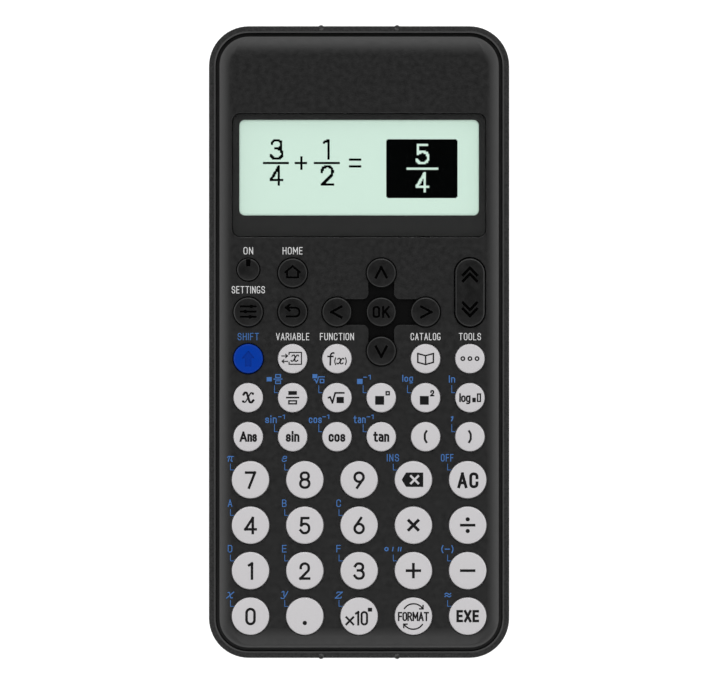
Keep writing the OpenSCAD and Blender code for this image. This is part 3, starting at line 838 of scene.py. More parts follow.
class Lettering:
    """Plain condensed letters of one pen width, on a grid ten units high."""

    glyphs: ClassVar[dict[str, str]] = {
        "A": "0,0 2.5,10 5,0 | 0.8,3 4.2,3",
        "B": "0,0 0,10 4.4,10,2.4 4.4,5.1,2.4 0,5.1 | 0,5.1 4.7,5.1,2.5 4.7,0,2.5 0,0",
        "C": "4.4,7 4.4,10,2.2 0,10,2.2 0,0,2.2 4.4,0,2.2 4.4,3",
        "D": "0,0 0,10 4.4,10,2.6 4.4,0,2.6 0,0",
        "E": "3.8,10 0,10 0,0 3.8,0 | 0,5.1 3.4,5.1",
        "F": "3.8,10 0,10 0,0 | 0,5.1 3.4,5.1",
        "G": "4.1,8.9 3.6,10,0.9 0,10,2.2 0,0,2.2 4.4,0,2.2 4.4,4.1 2.7,4.1",
        "H": "0,0 0,10 | 4.4,0 4.4,10 | 0,5.1 4.4,5.1",
        "I": "0,0 0,10",
        "K": "0,0 0,10 | 4.5,10 0,3.6 | 1.6,5.9 4.7,0",
        "L": "0,10 0,0 3.6,0",
        "M": "0,0 0,10 2.9,3.2 5.8,10 5.8,0",
        "N": "0,0 0,10 4.4,0 4.4,10",
        "O": "0,0,2.2 4.4,0,2.2 4.4,10,2.2 0,10,2.2 z",
        "R": "0,0 0,10 4.4,10,2.5 4.4,4.9,2.5 0,4.9 | 2.3,4.9 4.7,0",
        "S": "4.3,7.5 4.3,10,2.1 0.1,10,2.1 0.1,5.2,2.1 4.4,5,2.1 4.4,0,2.2 0,0,2.2 0,2.6",
        "T": "0,10 4.8,10 | 2.4,10 2.4,0",
        "U": "0,10 0,0,2.2 4.4,0,2.2 4.4,10",
        "V": "0,10 2.4,0 4.8,10",
        "X": "0,0 4.8,10 | 0,10 4.8,0",
        "a": "0.4,7 4.1,7,2 4.1,0 | 4.1,4.2 0,4.2,2 0,0,2 4.1,0",
        "c": "4.1,5.2 4.1,7,2 0,7,2 0,0,2 4.1,0,2 4.1,1.8",
        "g": "0.5,-2.8 4.3,-2.8,1.9 4.3,7 0,7,2 0,0,2 4.3,0",
        "i": "0,0 0,6.3 | 0,9 0,10.4",
        "l": "0,10 0,0",
        "n": "0,0 0,7 4.1,7,2 4.1,0",
        "o": "0,0,2.1 4.3,0,2.1 4.3,7,2.1 0,7,2.1 z",
        "s": "3.8,5.4 3.8,7,1.7 0.1,7,1.7 0.1,3.6,1.6 3.9,3.4,1.6 3.9,0,1.7 0,0,1.7 0,1.6",
        "t": "1.3,9.6 1.3,0,1.4 3.5,0 | 0,7 3.3,7",
        "e": "0.3,3.3 3.8,4.3,1.2 3.9,7,1.3 0.9,7,1.9 0,0,2 2.8,0,1.8 4.2,1.4",
        "x": "0,5.9 0.7,7,0.7 2,7,0.9 3.1,0,0.9 4.4,0,0.7 5.1,1.1"
        " | 5.1,6.1 4.7,7,0.6 3.7,6.8,0.6 1.5,0.2,0.6 0.5,0,0.6 0,0.9",
        "χ": "0.3,6.5 1.3,7,0.8 3.4,0,0.8 4.7,0.5 | 4.9,7 0,0",
        "y": "0,6 0.6,7,0.6 1.6,7,0.7 2.3,0.2,0.9 3.6,0.6 | 4.9,7 2.8,-2.4,1.2 0.6,-2.8,0.7 0.2,-1.6",
        "z": "0.4,5.8 0.8,7 4.6,7 0,0 4.2,0 4.6,1.3",
        "0": "0,0,2.7 5.4,0,2.7 5.4,10,2.7 0,10,2.7 z",
        "1": "0,8.9 2.2,10 2.2,0",
        "2": "0.2,7 0.2,10,2.7 5.7,10,2.7 5.7,5.6,2.4 0,0 6,0",
        "3": "0.3,8.3 1.6,10,1.8 5.6,10,2.3 5.6,5.4,2.2 2.2,5.4"
        " | 2.2,5.4 6,5.4,2.6 6,0,2.6 1.6,0,1.8 0,1.8",
        "4": "4.6,0 4.6,10 0,2.5 6.4,2.5",
        "5": "5.4,10 0.8,10 0.5,5.2 2.2,6.2,2 6,6.2,2.9 6,0,2.9 1.6,0,1.8 0,1.8",
        "6": "4.3,10 0.5,4.5 | 0,0,3 6,0,3 6,6.1,3 0,6.1,3 z",
        "7": "0,10 6,10 2,0",
        "8": "0.4,5.4,2.2 5.6,5.4,2.2 5.6,10,2.2 0.4,10,2.2 z"
        " | 0,0,2.6 6,0,2.6 6,5.4,2.6 0,5.4,2.6 z",
        "9": "1.7,0 5.5,5.5 | 0,3.9,3 6,3.9,3 6,10,3 0,10,3 z",
        "(": "1.8,11 0,8,3.4 0,2,3.4 1.8,-1",
        ")": "0,11 1.8,8,3.4 1.8,2,3.4 0,-1",
        "-": "0,5 4.4,5",
        "π": "0,5.6 0.7,7,0.7 6,7 | 2.1,7 1.2,0 | 4.4,7 4.1,0,0.9 5.4,0.2",
        "≈": "0,6.4 1.5,8.2,1.3 4.5,5.6,1.3 6,7.4 | 0,2.6 1.5,4.4,1.3 4.5,1.8,1.3 6,3.6",
    }

    @classmethod
    def strokes(cls, word: "Word") -> list[Stroke]:
        """Lays a word's letters side by side in its box.

        Args:
            word: The word, with its size and place.

        Returns:
            The strokes of all its letters.
        """
        letters = [Stroke.read(cls.glyphs[c]) for c in word.text]
        widths = [max(p[0] for s in letter for p in s.points) for letter in letters]
        total = sum(widths) + word.gap * (len(word.text) - 1)
        up = (word.height - word.line) / 10
        across = (word.width - word.line) / total if total else up
        x = word.x - total * across / 2
        out = []
        for letter, width in zip(letters, widths):
            shift = (x - word.slant * up * 5, word.y - 5 * up)
            out.extend(s.fitted((across, up), shift, word.slant) for s in letter)
            x += (width + word.gap) * across
        return out


class Mark(ABC):
    """Something that a pen draws."""

    @abstractmethod
    def draw(self, pen: Pen) -> None:
        """Draws the mark."""


@dataclass(frozen=True)
class Word(Mark):
    """Letters fitted to an outer width and cap height about a middle point.

    Attributes:
        line: Pen width.
        slant: Shift along x for each unit of height.
        gap: Space between letters, on the letters' own grid.
    """

    text: str
    width: float
    height: float
    line: float = 0.3
    x: float = 0.0
    y: float = 0.0
    slant: float = 0.0
    gap: float = 3.3

    def draw(self, pen: Pen) -> None:
        """Draws every letter's strokes."""
        for stroke in Lettering.strokes(self):
            pen.stroke(stroke, self.line)


@dataclass(frozen=True)
class Line(Mark):
    """Free strokes of one width."""

    drawn: str
    line: float = 0.3

    def draw(self, pen: Pen) -> None:
        """Draws the strokes."""
        for stroke in Stroke.read(self.drawn):
            pen.stroke(stroke, self.line)


@dataclass(frozen=True)
class Patch(Mark):
    """Filled outline."""

    outline: Stroke

    def draw(self, pen: Pen) -> None:
        """Fills the outline."""
        pen.patch(self.outline)


@dataclass(frozen=True)
class Block(Mark):
    """Filled rectangle about a middle point."""

    x: float
    y: float
    w: float
    h: float

    def draw(self, pen: Pen) -> None:
        """Fills the rectangle."""
        pen.patch(Stroke.box(self.x, self.y, self.w, self.h))


@dataclass(frozen=True)
class Frame(Block):
    """Open rectangle by its outer size, with a radius at its corners."""

    line: float = 0.3
    r: float = 0.0

    def draw(self, pen: Pen) -> None:
        """Draws the four sides as one closed stroke."""
        w, h = self.w - self.line, self.h - self.line
        pen.stroke(Stroke.box(self.x, self.y, w, h, self.r), self.line)


@dataclass(frozen=True)
class Dot(Mark):
    """Filled round spot."""

    x: float
    y: float
    d: float

    def draw(self, pen: Pen) -> None:
        """Fills the spot."""
        pen.disc(self.x, self.y, self.d)


Marks = tuple[Mark, ...]


def ring(x: float, y: float, d: float, line: float) -> Frame:
    """Gives an open ring by its outer diameter."""
    return Frame(x, y, d, d, line, (d - line) / 2)


def digit(text: str, width: float = 2.95) -> Marks:
    """Gives the legend of a number key."""
    return (Word(text, width, 4.5, 0.66, 0, -0.1),)


def function_word(text: str, width: float) -> Marks:
    """Gives the legend of a key with a function's name."""
    return (Word(text, width, 2.7, 0.52, 0, 0.02),)


KEY_LEGENDS: dict[str, Marks] = {
    "key_variable": (
        Line("-0.9,1.08 -0.9,1.58 2.27,1.58 2.27,-1.45 -0.9,-1.45 -0.9,-0.95", 0.3),
        Word("x", 2.0, 2.6, 0.32, 0.64, 0.45, 0.2),
        Line("-2.75,0.68 -1.3,0.68 | -1.75,1.08 -1.3,0.68 -1.75,0.28", 0.28),
        Line("-1.25,-0.7 -2.7,-0.7 | -2.25,-0.3 -2.7,-0.7 -2.25,-1.1", 0.28),
    ),
    "key_function": (
        Line("-0.95,1.45 -1.62,1.55,0.7 -1.72,-1.55 | -2.25,0.55 -1.05,0.55", 0.42),
        Line("-0.35,0.2 -0.6,-0.65,1.3 -0.35,-1.5 | 2.2,0.2 2.45,-0.65,1.3 2.2,-1.5", 0.28),
        Word("x", 1.85, 2.35, 0.3, 0.93, -0.32, 0.2),
    ),
    "key_catalogue": (
        Line("0,0.75 -2.0,1.3 -2.0,-0.95 0,-1.5 2.0,-0.95 2.0,1.3 z | 0,0.75 0,-1.5", 0.38),
    ),
    "key_tools": tuple(ring(x, 0, 1.25, 0.36) for x in (-1.82, 0, 1.82)),
    "key_x": (
        Line("-1.2,0.8 -0.9,1.3,0.3 -0.4,1.3,0.35 0.35,-1.2,0.35 0.9,-1.2,0.3 1.3,-0.7", 0.58),
        Line("1.25,1.1 0.7,1.33,0.36 -0.8,-1.28,0.36 -1.4,-1.0", 0.34),
        Dot(1.18, 1.02, 0.64),
        Dot(-1.3, -0.98, 0.64),
    ),
    "key_fraction": (
        Block(0, 1.2, 2.2, 1.0),
        Block(0, 0.02, 3.4, 0.42),
        Frame(0, -1.2, 2.3, 1.14, 0.38),
    ),
    "key_root": (
        Line("-2.15,0.0 -1.75,0.16 -1.15,-1.3 -0.45,1.22 1.75,1.22", 0.44),
        Block(0.84, -0.6, 1.9, 1.6),
    ),
    "key_exponent": (Block(-0.42, -0.7, 2.3, 2.25), Frame(1.65, 1.13, 1.14, 1.14, 0.36)),
    "key_square": (Block(-0.33, -0.7, 2.3, 2.25), Word("2", 1.1, 1.66, 0.38, 1.7, 1.15)),
    "key_log": (
        Word("log", 2.9, 2.3, 0.42, -1.3, 0.0, gap=2.6),
        Block(1.05, -0.6, 0.92, 1.15),
        Frame(2.32, -0.02, 1.08, 2.25, 0.36),
    ),
    "key_answer": (
        Word("A", 1.95, 2.65, 0.52, -1.25, 0),
        Word("ns", 2.45, 2.65, 0.52, 1.0, 0),
    ),
    "key_sin": function_word("sin", 3.5),
    "key_cos": function_word("cos", 4.3),
    "key_tan": function_word("tan", 4.1),
    "key_bracket_open": (Word("(", 0.95, 2.85, 0.54, 0, 0),),
    "key_bracket_close": (Word(")", 0.95, 2.85, 0.54, 0, 0),),
    "key_7": digit("7", 2.9),
    "key_8": digit("8"),
    "key_9": digit("9"),
    "key_4": digit("4", 3.3),
    "key_5": digit("5", 2.85),
    "key_6": digit("6"),
    "key_1": digit("1", 1.4),
    "key_2": digit("2", 2.9),
    "key_3": digit("3"),
    "key_0": digit("0", 2.7),
    "key_delete": (
        Patch(*Stroke.read("-3.02,0,0.3 -1.88,1.85,0.4 2.52,1.85 2.52,-1.85 -1.88,-1.85,0.4 z")),
    ),
    "key_clear": (Word("AC", 5.4, 4.05, 0.74, 0.05, -0.15),),
    "key_multiply": (Line("-1.15,-1.15 1.15,1.15 | -1.15,1.15 1.15,-1.15", 0.78),),
    "key_divide": (Block(0, 0, 3.95, 0.7), Dot(0, 1.5, 1.08), Dot(0, -1.5, 1.08)),
    "key_plus": (Block(0, 0, 3.95, 0.7), Block(0, 0, 0.7, 3.95)),
    "key_minus": (Block(0, 0, 3.95, 0.7),),
    "key_point": (Dot(0, -1.75, 1.12),),
    "key_power_of_ten": (
        Line("-3.25,-2.1 -1.5,-0.3 | -3.25,-0.3 -1.5,-2.1", 0.52),
        Word("10", 3.35, 3.7, 0.54, 0.62, -0.55),
        Block(2.79, 1.65, 1.1, 1.0),
    ),
    "key_format": (
        Word("FORMAT", 7.95, 2.35, 0.4, 0, -0.1, gap=2.3),
        Line("-2.3,1.95 -1.3,3.15,2.6 1.3,3.15,2.6 2.45,1.9 | 1.62,1.86 2.47,1.86 2.47,2.74", 0.36),
        Line(
            "2.3,-2.15 1.3,-3.35,2.6 -1.3,-3.35,2.6 -2.45,-2.1"
            " | -1.62,-2.06 -2.47,-2.06 -2.47,-2.94",
            0.36,
        ),
    ),
    "key_execute": (Word("EXE", 5.8, 3.15, 0.66, 0, 0),),
}

KNOCKOUTS: dict[str, Marks] = {
    "key_delete": (Line("-0.6,-0.9 1.2,0.9 | -0.6,0.9 1.2,-0.9", 0.55),),
}

KEY_CUTS: dict[str, Marks] = {
    "key_on": (Block(0, 1.75, 1.2, 1.9),),
    "key_home": (
        Line("-1.85,0.2 0,1.75 1.85,0.2 | -1.4,0.35 -1.4,-1.15 1.4,-1.15 1.4,0.35", 0.54),
    ),
    "key_settings": (
        Line("-1.85,1.42 1.85,1.42 | -1.85,0.1 1.85,0.1 | -1.85,-1.22 1.85,-1.22", 0.58),
        Dot(0.8, 1.42, 0.98),
        Dot(-0.75, 0.1, 0.98),
        Dot(0.45, -1.22, 0.98),
    ),
    "key_back": (
        Line("-1.6,1.1 1.75,1.1,1.05 1.75,-1.15,1.05 -1.45,-1.15", 0.58),
        Line("-0.75,1.85 -1.75,1.1 -0.75,0.35", 0.58),
    ),
    "key_up": (Line("-1.35,-1.1 0,1.45 1.35,-1.1", 0.66),),
    "key_down": (Line("-1.35,1.1 0,-1.45 1.35,1.1", 0.66),),
    "key_left": (Line("1.1,-1.35 -1.45,0 1.1,1.35", 0.66),),
    "key_right": (Line("-1.1,-1.35 1.45,0 -1.1,1.35", 0.66),),
    "key_ok": (Word("OK", 4.5, 3.1, 0.58, 0, 0),),
    "key_shift": (
        Patch(*Stroke.read("0,2.05 -1.65,0.1 -0.78,0.1 -0.78,-2 0.78,-2 0.78,0.1 1.65,0.1 z")),
    ),
    "key_page": (
        Line("-1.75,4.5 0,6.3 1.75,4.5 | -1.75,2.95 0,4.75 1.75,2.95", 0.74),
        Line("-1.75,-4.2 0,-6.0 1.75,-4.2 | -1.75,-2.65 0,-4.45 1.75,-2.65", 0.74),
    ),
}


def letter(text: str, width: float = 1.15) -> Marks:
    """Gives a blue capital or two beside a number key."""
    return (Word(text, width, 1.9, 0.21, -5.25, 5.62),)


def small_italic(text: str) -> Marks:
    """Gives a blue slanted letter beside a number key."""
    return (Word(text, 1.75, 2.45, 0.24, -5.15, 5.7, 0.2),)


def inverse(text: str, width: float) -> Marks:
    """Gives a blue function's name with its raised minus one."""
    return (
        Word(text, width, 1.95, 0.26, -5.55, 4.45),
        Word("-1", 1.75, 1.15, 0.22, -2.85, 5.1),
    )


SECOND_LEGENDS: dict[str, Marks] = {
    "key_fraction": (
        Block(-6.0, 4.72, 1.3, 1.1),
        Block(-3.73, 4.76, 2.3, 0.26),
        Frame(-3.73, 5.55, 1.5, 0.95, 0.24),
        Frame(-3.73, 3.97, 1.5, 0.95, 0.24),
    ),
    "key_root": (
        Block(-5.65, 5.5, 1.25, 1.05),
        Line("-5.85,4.55 -5.6,4.65 -5.2,3.8 -4.7,5.35 -3.2,5.35", 0.25),
        Frame(-3.82, 4.27, 1.15, 1.1, 0.24),
    ),
    "key_exponent": (Block(-5.5, 4.16, 1.4, 1.3), Word("-1", 1.95, 1.2, 0.22, -3.67, 5.25)),
    "key_square": (Word("log", 2.75, 1.75, 0.25, -4.6, 4.95),),
    "key_log": (Word("ln", 1.6, 1.85, 0.26, -4.6, 4.78),),
    "key_sin": inverse("sin", 2.95),
    "key_cos": inverse("cos", 3.3),
    "key_tan": inverse("tan", 3.1),
    "key_bracket_close": (Line("-4.4,5.1 -4.4,4.7 -4.7,4.1 | -4.72,5.0 -4.4,5.0", 0.3),),
    "key_7": (Word("π", 1.7, 2.0, 0.24, -5.18, 5.6, 0.12),),
    "key_8": (Word("e", 1.4, 2.1, 0.22, -5.18, 5.62, 0.2),),
    "key_delete": letter("INS", 3.1),
    "key_clear": letter("OFF", 3.2),
    "key_4": letter("A"),
    "key_5": letter("B"),
    "key_6": letter("C"),
    "key_1": letter("D"),
    "key_2": letter("E"),
    "key_3": letter("F"),
    "key_plus": (
        ring(-6.9, 5.5, 1.1, 0.27),
        Line("-5.2,5.95 -5.35,5.05 | -3.75,5.95 -3.9,5.05 | -3.15,5.95 -3.3,5.05", 0.27),
    ),
    "key_minus": (
        Line(
            "-6.35,6.4 -6.75,5.5,1.2 -6.35,4.6 | -5.75,5.5 -4.65,5.5"
            " | -4.05,6.4 -3.65,5.5,1.2 -4.05,4.6",
            0.26,
        ),
    ),
    "key_0": small_italic("χ"),
    "key_point": (Word("y", 1.7, 2.1, 0.22, -5.15, 5.95, 0.2),),
    "key_power_of_ten": small_italic("z"),
    "key_execute": (Word("≈", 1.75, 1.9, 0.26, -5.08, 5.4),),
}


class Surface(ABC):
    """A top surface that printing lies on, in millimetres."""

    @abstractmethod
    def height(self, x: float, y: float) -> float:
        """Gives the surface's height at a place."""


@dataclass(frozen=True)
class FlatTop(Surface):
    """A level surface."""

    z: float

    def height(self, x: float, y: float) -> float:
        """Gives the one height."""
        return self.z


@dataclass(frozen=True)
class Crown(Surface):
    """The crowned top of a key, about the key's own middle.

    Attributes:
        top: Height of the crown.
        sphere_r: Radius of the crown.
        span: Distance along Y over which the crown is drawn out.
    """

    top: float
    sphere_r: float
    span: float = 0.0

    def height(self, x: float, y: float) -> float:
        """Gives the height of the crown over a place."""
        y = max(0, abs(y) - self.span / 2)
        return self.top - self.sphere_r + math.sqrt(self.sphere_r**2 - x * x - y * y)


class Piece:
    """Turns a bmesh in millimetres into a finished object that rides on a body."""

    smooth_angle: ClassVar[float] = math.radians(32)

    def __init__(self, name: str, bm: BMesh, x: float = 0, y: float = 0) -> None:
        """Makes the object in its place, in metres.

        Args:
            name: Name of the piece.
            bm: The mesh in millimetres, which is used up.
            x: Place of its middle along X, in millimetres.
            y: Place of its middle along Y, in millimetres.
        """
        bmesh.ops.translate(bm, verts=bm.verts, vec=(x, y, 0))
        bmesh.ops.scale(bm, verts=bm.verts, vec=(MM, MM, MM))
        mesh = bpy.data.meshes.new(name)
        bm.to_mesh(mesh)
        bm.free()
        self.object = bpy.data.objects.new(name, mesh)
        bpy.context.scene.collection.objects.link(self.object)

    def dress(self, *looks: Look) -> "Piece":
        """Puts the finishes in the piece's slots, in order.

        Args:
            looks: The finishes.

        Returns:
            This piece.
        """
        for look in looks:
            self.object.data.materials.append(look.material)
        return self

    def smooth(self) -> "Piece":
        """Shades the piece smooth and keeps its sharp edges.

        Returns:
            This piece.
        """
        mesh = self.object.data
        mesh.polygons.foreach_set("use_smooth", [True] * len(mesh.polygons))
        mesh.set_sharp_from_angle(angle=self.smooth_angle)
        return self

    def cut(self, cutter: "Piece") -> "Piece":
        """Cuts another piece's shape out of this one and removes it.

        Args:
            cutter: The shape to take away; its finish shows in the cut.

        Returns:
            This piece.
        """
        tool = self.object.modifiers.new("cut", "BOOLEAN")
        tool.operation = "DIFFERENCE"
        tool.solver = "EXACT"
        tool.use_self = True
        tool.material_mode = "TRANSFER"
        tool.object = cutter.object
        bpy.context.view_layer.update()
        shaped = self.object.evaluated_get(bpy.context.evaluated_depsgraph_get())
        mesh = bpy.data.meshes.new_from_object(shaped)
        self.object.modifiers.remove(tool)
        self.object.data = mesh
        bpy.data.objects.remove(cutter.object)
        return self

    def ride(self, body: str) -> "Piece":
        """Fixes the piece to a body and reports it.

        Args:
            body: Name of the body.

        Returns:
            This piece.
        """
        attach(self.object, body)
        LOG.info("piece %s on %s, %d faces", self.object.name, body, len(self.object.data.polygons))
        return self


@dataclass(frozen=True)
class InkLayer:
    """Printing of one colour: marks as a thin layer that follows a surface.

    Attributes:
        thickness: Thickness of the layer.
        sink: How far the layer's underside lies in the surface.
        grid: Spacing of the cuts that let wide marks follow a crown.
        step: How far each stroke lies over the one before.
    """

    thickness: float = 0.03
    sink: float = 0.012
    grid: float = 1.5
    step: float = 0.004

    def mesh(self, marks: Marks, surface: Surface) -> BMesh:
        """Draws marks and lays them on a surface.

        Args:
            marks: What to draw.
            surface: The surface, about the same middle as the marks.

        Returns:
            The closed layer, in millimetres.
        """
        pen = Pen(self.step)
        for mark in marks:
            mark.draw(pen)
        bm = pen.bm
        if isinstance(surface, Crown):
            self.divide(bm)
        thicken(bm, self.thickness)
        for vert in bm.verts:
            vert.co.z += surface.height(vert.co.x, vert.co.y) - self.sink
        return bm

    def divide(self, bm: BMesh) -> None:
        """Cuts the flat marks along a square grid.

        Args:
            bm: The mesh with the marks.
        """
        for axis in (0, 1):
            reach = max((abs(v.co[axis]) for v in bm.verts), default=0)
            normal = Vector((axis == 0, axis == 1, 0))
            for k in range(-int(reach / self.grid), int(reach / self.grid) + 1):
                every = [*bm.verts, *bm.edges, *bm.faces]
                spot = normal * k * self.grid
                bmesh.ops.bisect_plane(bm, geom=every, dist=SLIVER, plane_co=spot, plane_no=normal)


@dataclass(frozen=True)
class KeyPlan:
    """Where the keys stand and the sizes their tops share, in millimetres.

    Attributes:
        number_d: Diameter of a number key.
        function_d: Diameter of a function key.
        on_d: Diameter of the power key.
        top: Height of the keys.
        on_top: Height of the power key.
        crown: Rise of a cap's crown.
        edge_r: Radius of a cap's edge.
        number_rows: Heights of the number rows up the face.
        row_reach: How near a row a key's middle stands to belong to it.
        columns: Function keys in a row.
        function_pitch: Spacing of the function keys along X.
        arrow_pitch: Spacing of the arrow keys up the face.
    """

    number_d: float = 9.55
    function_d: float = 7.5
    on_d: float = 5.8
    top: float = 13.8
    on_top: float = 13.2
    crown: float = 0.15
    edge_r: float = 0.4
    number_rows: tuple[float, ...] = (-35.275, -46.925, -58.575, -70.225)
    row_reach: float = 1.0
    columns: int = 6
    function_pitch: float = 11.36
    arrow_pitch: float = 10.0

    @staticmethod
    @cache
    def middle(node: str) -> tuple[float, float]:
        """Gives the middle of a key from its CAD node."""
        low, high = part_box(node)
        return (low.x + high.x) / 2 / MM, (low.y + high.y) / 2 / MM

    def diameter(self, node: str) -> float:
        """Gives the diameter of a key's cap.

        Args:
            node: The key.

        Returns:
            The diameter.
        """
        if node == "key_on":
            return self.on_d
        up = self.middle(node)[1]
        number = any(abs(y - up) < self.row_reach for y in self.number_rows)
        return self.number_d if number else self.function_d

    def top_of(self, node: str) -> float:
        """Gives the height of a key's crown."""
        return self.on_top if node == "key_on" else self.top

    def surface(self, node: str, span: float = 0.0) -> Crown:
        """Gives the crowned top of a key, drawn out over a span."""
        shoulder = self.diameter(node) / 2 - self.edge_r
        return Crown(self.top_of(node), (shoulder**2 + self.crown**2) / (2 * self.crown), span)


def short(node: str) -> str:
    """Gives a key's name without its common start."""
    return node.removeprefix("key_")


class KeyKind(Enum):
    """How a key is finished: cap, sign, depth of the sign in millimetres and material slot."""

    PALE = (Look.PALE_KEY, Look.BLACK_INK, 0.03, "key_pale")
    # The dark and blue keys' signs are painted shade laid in their cuts.
    DARK = (Look.DARK_KEY, Look.CUT, 0.16, "key_dark")
    BLUE = (Look.BLUE_KEY, Look.BLUE_CUT, 0.14, "key_blue")

    @staticmethod
    def of(node: str) -> "KeyKind":
        """Gives the kind of a key.

        Args:
            node: The key.

        Returns:
            Its kind.
        """
        if node == "key_shift":
            return KeyKind.BLUE
        return KeyKind.PALE if node in KEY_LEGENDS else KeyKind.DARK


def trace(bm: BMesh, tip: BMVert, corners: list[Point]) -> None:
    """Carries an outline on through corners.

    Args:
        bm: The mesh to draw in.
        tip: The outline's last point.
        corners: Radius and height of each corner.
    """
    for r, z in corners:
        tip = bmesh.ops.extrude_vert_indiv(bm, verts=[tip])["verts"][0]
        tip.co = (r, 0, z)


def turned(bm: BMesh, steps: int) -> BMesh:
    """Spins an outline round the Z axis into a closed solid.

    Args:
        bm: The outline.
        steps: Steps round the axis.

    Returns:
        The same mesh, closed.
    """
    bmesh.ops.spin(
        bm,
        geom=[*bm.verts, *bm.edges],
        cent=(0, 0, 0),
        axis=(0, 0, 1),
        angle=2 * math.pi,
        steps=steps,
        use_merge=True,
    )
    return sealed(bm)


def sealed(bm: BMesh) -> BMesh:
    """Joins the seam and the poles and turns the faces outwards.

    Args:
        bm: The mesh.

    Returns:
        The same mesh, closed.
    """
    bmesh.ops.remove_doubles(bm, verts=bm.verts, dist=WELD)
    bmesh.ops.dissolve_degenerate(bm, edges=bm.edges, dist=SLIVER)
    bmesh.ops.recalc_face_normals(bm, faces=bm.faces)
    return bm


@dataclass
class Keys:
    """Every key, turned as the CAD has it, with its sign let into the cap.

    Attributes:
        plan: Where the keys stand.
        foot: Height of the caps' underside.
        lip_w: Width of the retaining lip.
        lip_t: Thickness of the retaining lip.
        wall: Wall of the hollow cap.
        roof: Thickness of the cap's top.
        stem_d: Diameter of the stem.
        span: Distance between the page rocker's two ends.
        pivot: Height of the page rocker's ears.
        ear: Size of an ear.
        clear: How far a cutter stands over the cap.
        turns: Steps round a cap.
        crown_steps: Steps along the crown.
        edge_steps: Steps along the round edge.
    """

    plan: KeyPlan
    foot: float = 10.1
    lip_w: float = 0.6
    lip_t: float = 0.8
    wall: float = 0.9
    roof: float = 1.0
    stem_d: float = 3.2
    span: float = 10.0
    pivot: float = 10.5
    ear: tuple[float, float, float] = (1.2, 2.4, 0.8)
    clear: float = 0.3
    turns: int = 72
    crown_steps: int = 10
    edge_steps: int = 8

    def outline(self, bm: BMesh, node: str, lip: float) -> None:
        """Draws half a cap's outline, from the crown to the stem's foot.

        Args:
            bm: The mesh to draw in.
            node: The key.
            lip: Width of its lip.
        """
        d, edge = self.plan.diameter(node), self.plan.edge_r
        crown = self.plan.surface(node)
        shoulder_r, shoulder_z = d / 2 - edge, crown.top - self.plan.crown
        tilt = math.asin(shoulder_r / crown.sphere_r)
        tip = bm.verts.new((0, 0, crown.top))
        tip = self.arc(bm, tip, (0, 0, crown.top - crown.sphere_r), tilt, self.crown_steps)
        tip = self.arc(bm, tip, (shoulder_r, 0, shoulder_z - edge), math.pi / 2, self.edge_steps)
        hollow = d / 2 - self.wall
        corners = [
            (d / 2, self.foot + self.lip_t),
            (d / 2 + lip, self.foot + self.lip_t),
            (d / 2 + lip, self.foot),
            (hollow, self.foot),
            (hollow, shoulder_z - self.roof),
            (self.stem_d / 2, shoulder_z - self.roof),
            (self.stem_d / 2, self.foot),
            (0, self.foot),
        ]
        trace(bm, tip, corners)

    @staticmethod
    def arc(bm: BMesh, tip: BMVert, centre: Point, angle: float, steps: int) -> BMVert:
        """Carries an outline on along an arc.

        Args:
            bm: The mesh to draw in.
            tip: The outline's last point.
            centre: Middle of the arc.
            angle: Angle of the arc.
            steps: Steps along it.

        Returns:
            The outline's new last point.
        """
        made = bmesh.ops.spin(bm, geom=[tip], cent=centre, axis=(0, 1, 0), angle=angle, steps=steps)
        return picked(made["geom_last"], BMVert)[0]

    def cap(self, node: str) -> BMesh:
        """Turns a round cap about its own middle.

        Args:
            node: The key.

        Returns:
            The cap.
        """
        bm = bmesh.new()
        self.outline(bm, node, self.lip_w)
        return turned(bm, self.turns)

    def rocker(self, node: str) -> BMesh:
        """Turns and draws the page rocker's cap about its own middle, with its pivot ears.

        Args:
            node: The rocker.

        Returns:
            The cap.
        """
        bm = bmesh.new()
        self.outline(bm, node, 0)
        bmesh.ops.translate(bm, verts=bm.verts, vec=(0, self.span / 2, 0))
        edges = bm.edges[:]
        for side in (1, -1):
            swept = bmesh.ops.spin(
                bm,
                geom=[*{v for e in edges for v in e.verts}, *edges],
                cent=(0, side * self.span / 2, 0),
                axis=(0, 0, 1),
                angle=math.pi,
                steps=self.turns // 2,
            )
            edges = picked(swept["geom_last"], BMEdge)
            drawn = bmesh.ops.extrude_edge_only(bm, edges=edges)["geom"]
            verts = picked(drawn, BMVert)
            edges = [e for e in picked(drawn, BMEdge) if all(v in verts for v in e.verts)]
            bmesh.ops.translate(bm, verts=verts, vec=(0, -side * self.span, 0))
        sealed(bm)
        for side in (-1, 1):
            spot = Matrix.Translation((side * self.plan.function_d / 2, 0, self.pivot))
            bmesh.ops.create_cube(bm, size=1, matrix=spot @ Matrix.Diagonal((*self.ear, 1)))
        return bm

    def cutter(self, node: str, marks: Marks, depth: float, part: str) -> Piece:
        """Draws marks as a body that reaches from the sign's floor to above the cap.

        Args:
            node: The key.
            marks: What to draw.
            depth: Depth of the floor under the cap.
            part: Word that starts the body's name.

        Returns:
            The body in its place.
        """
        span = self.span if node == "key_page" else 0.0
        ink = InkLayer(depth + self.clear, depth, step=0.0)
        mesh = ink.mesh(marks, self.plan.surface(node, span))
        return Piece(part + short(node), mesh, *self.plan.middle(node))

    def build(self) -> None:
        """Makes every key."""
        for node, marks in {**KEY_CUTS, **KEY_LEGENDS}.items():
            look, sign, depth, slot = KeyKind.of(node).value
            mesh = self.rocker(node) if node == "key_page" else self.cap(node)
            cap = Piece("cap_" + short(node), mesh, *self.plan.middle(node)).dress(look)
            cut = self.cutter(node, marks, depth, "sign_").dress(sign)
            if node in KNOCKOUTS:
                cut.cut(self.cutter(node, KNOCKOUTS[node], depth * 2, "spare_").dress(sign))
            cap.cut(cut).smooth().ride(node)
            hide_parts(node)


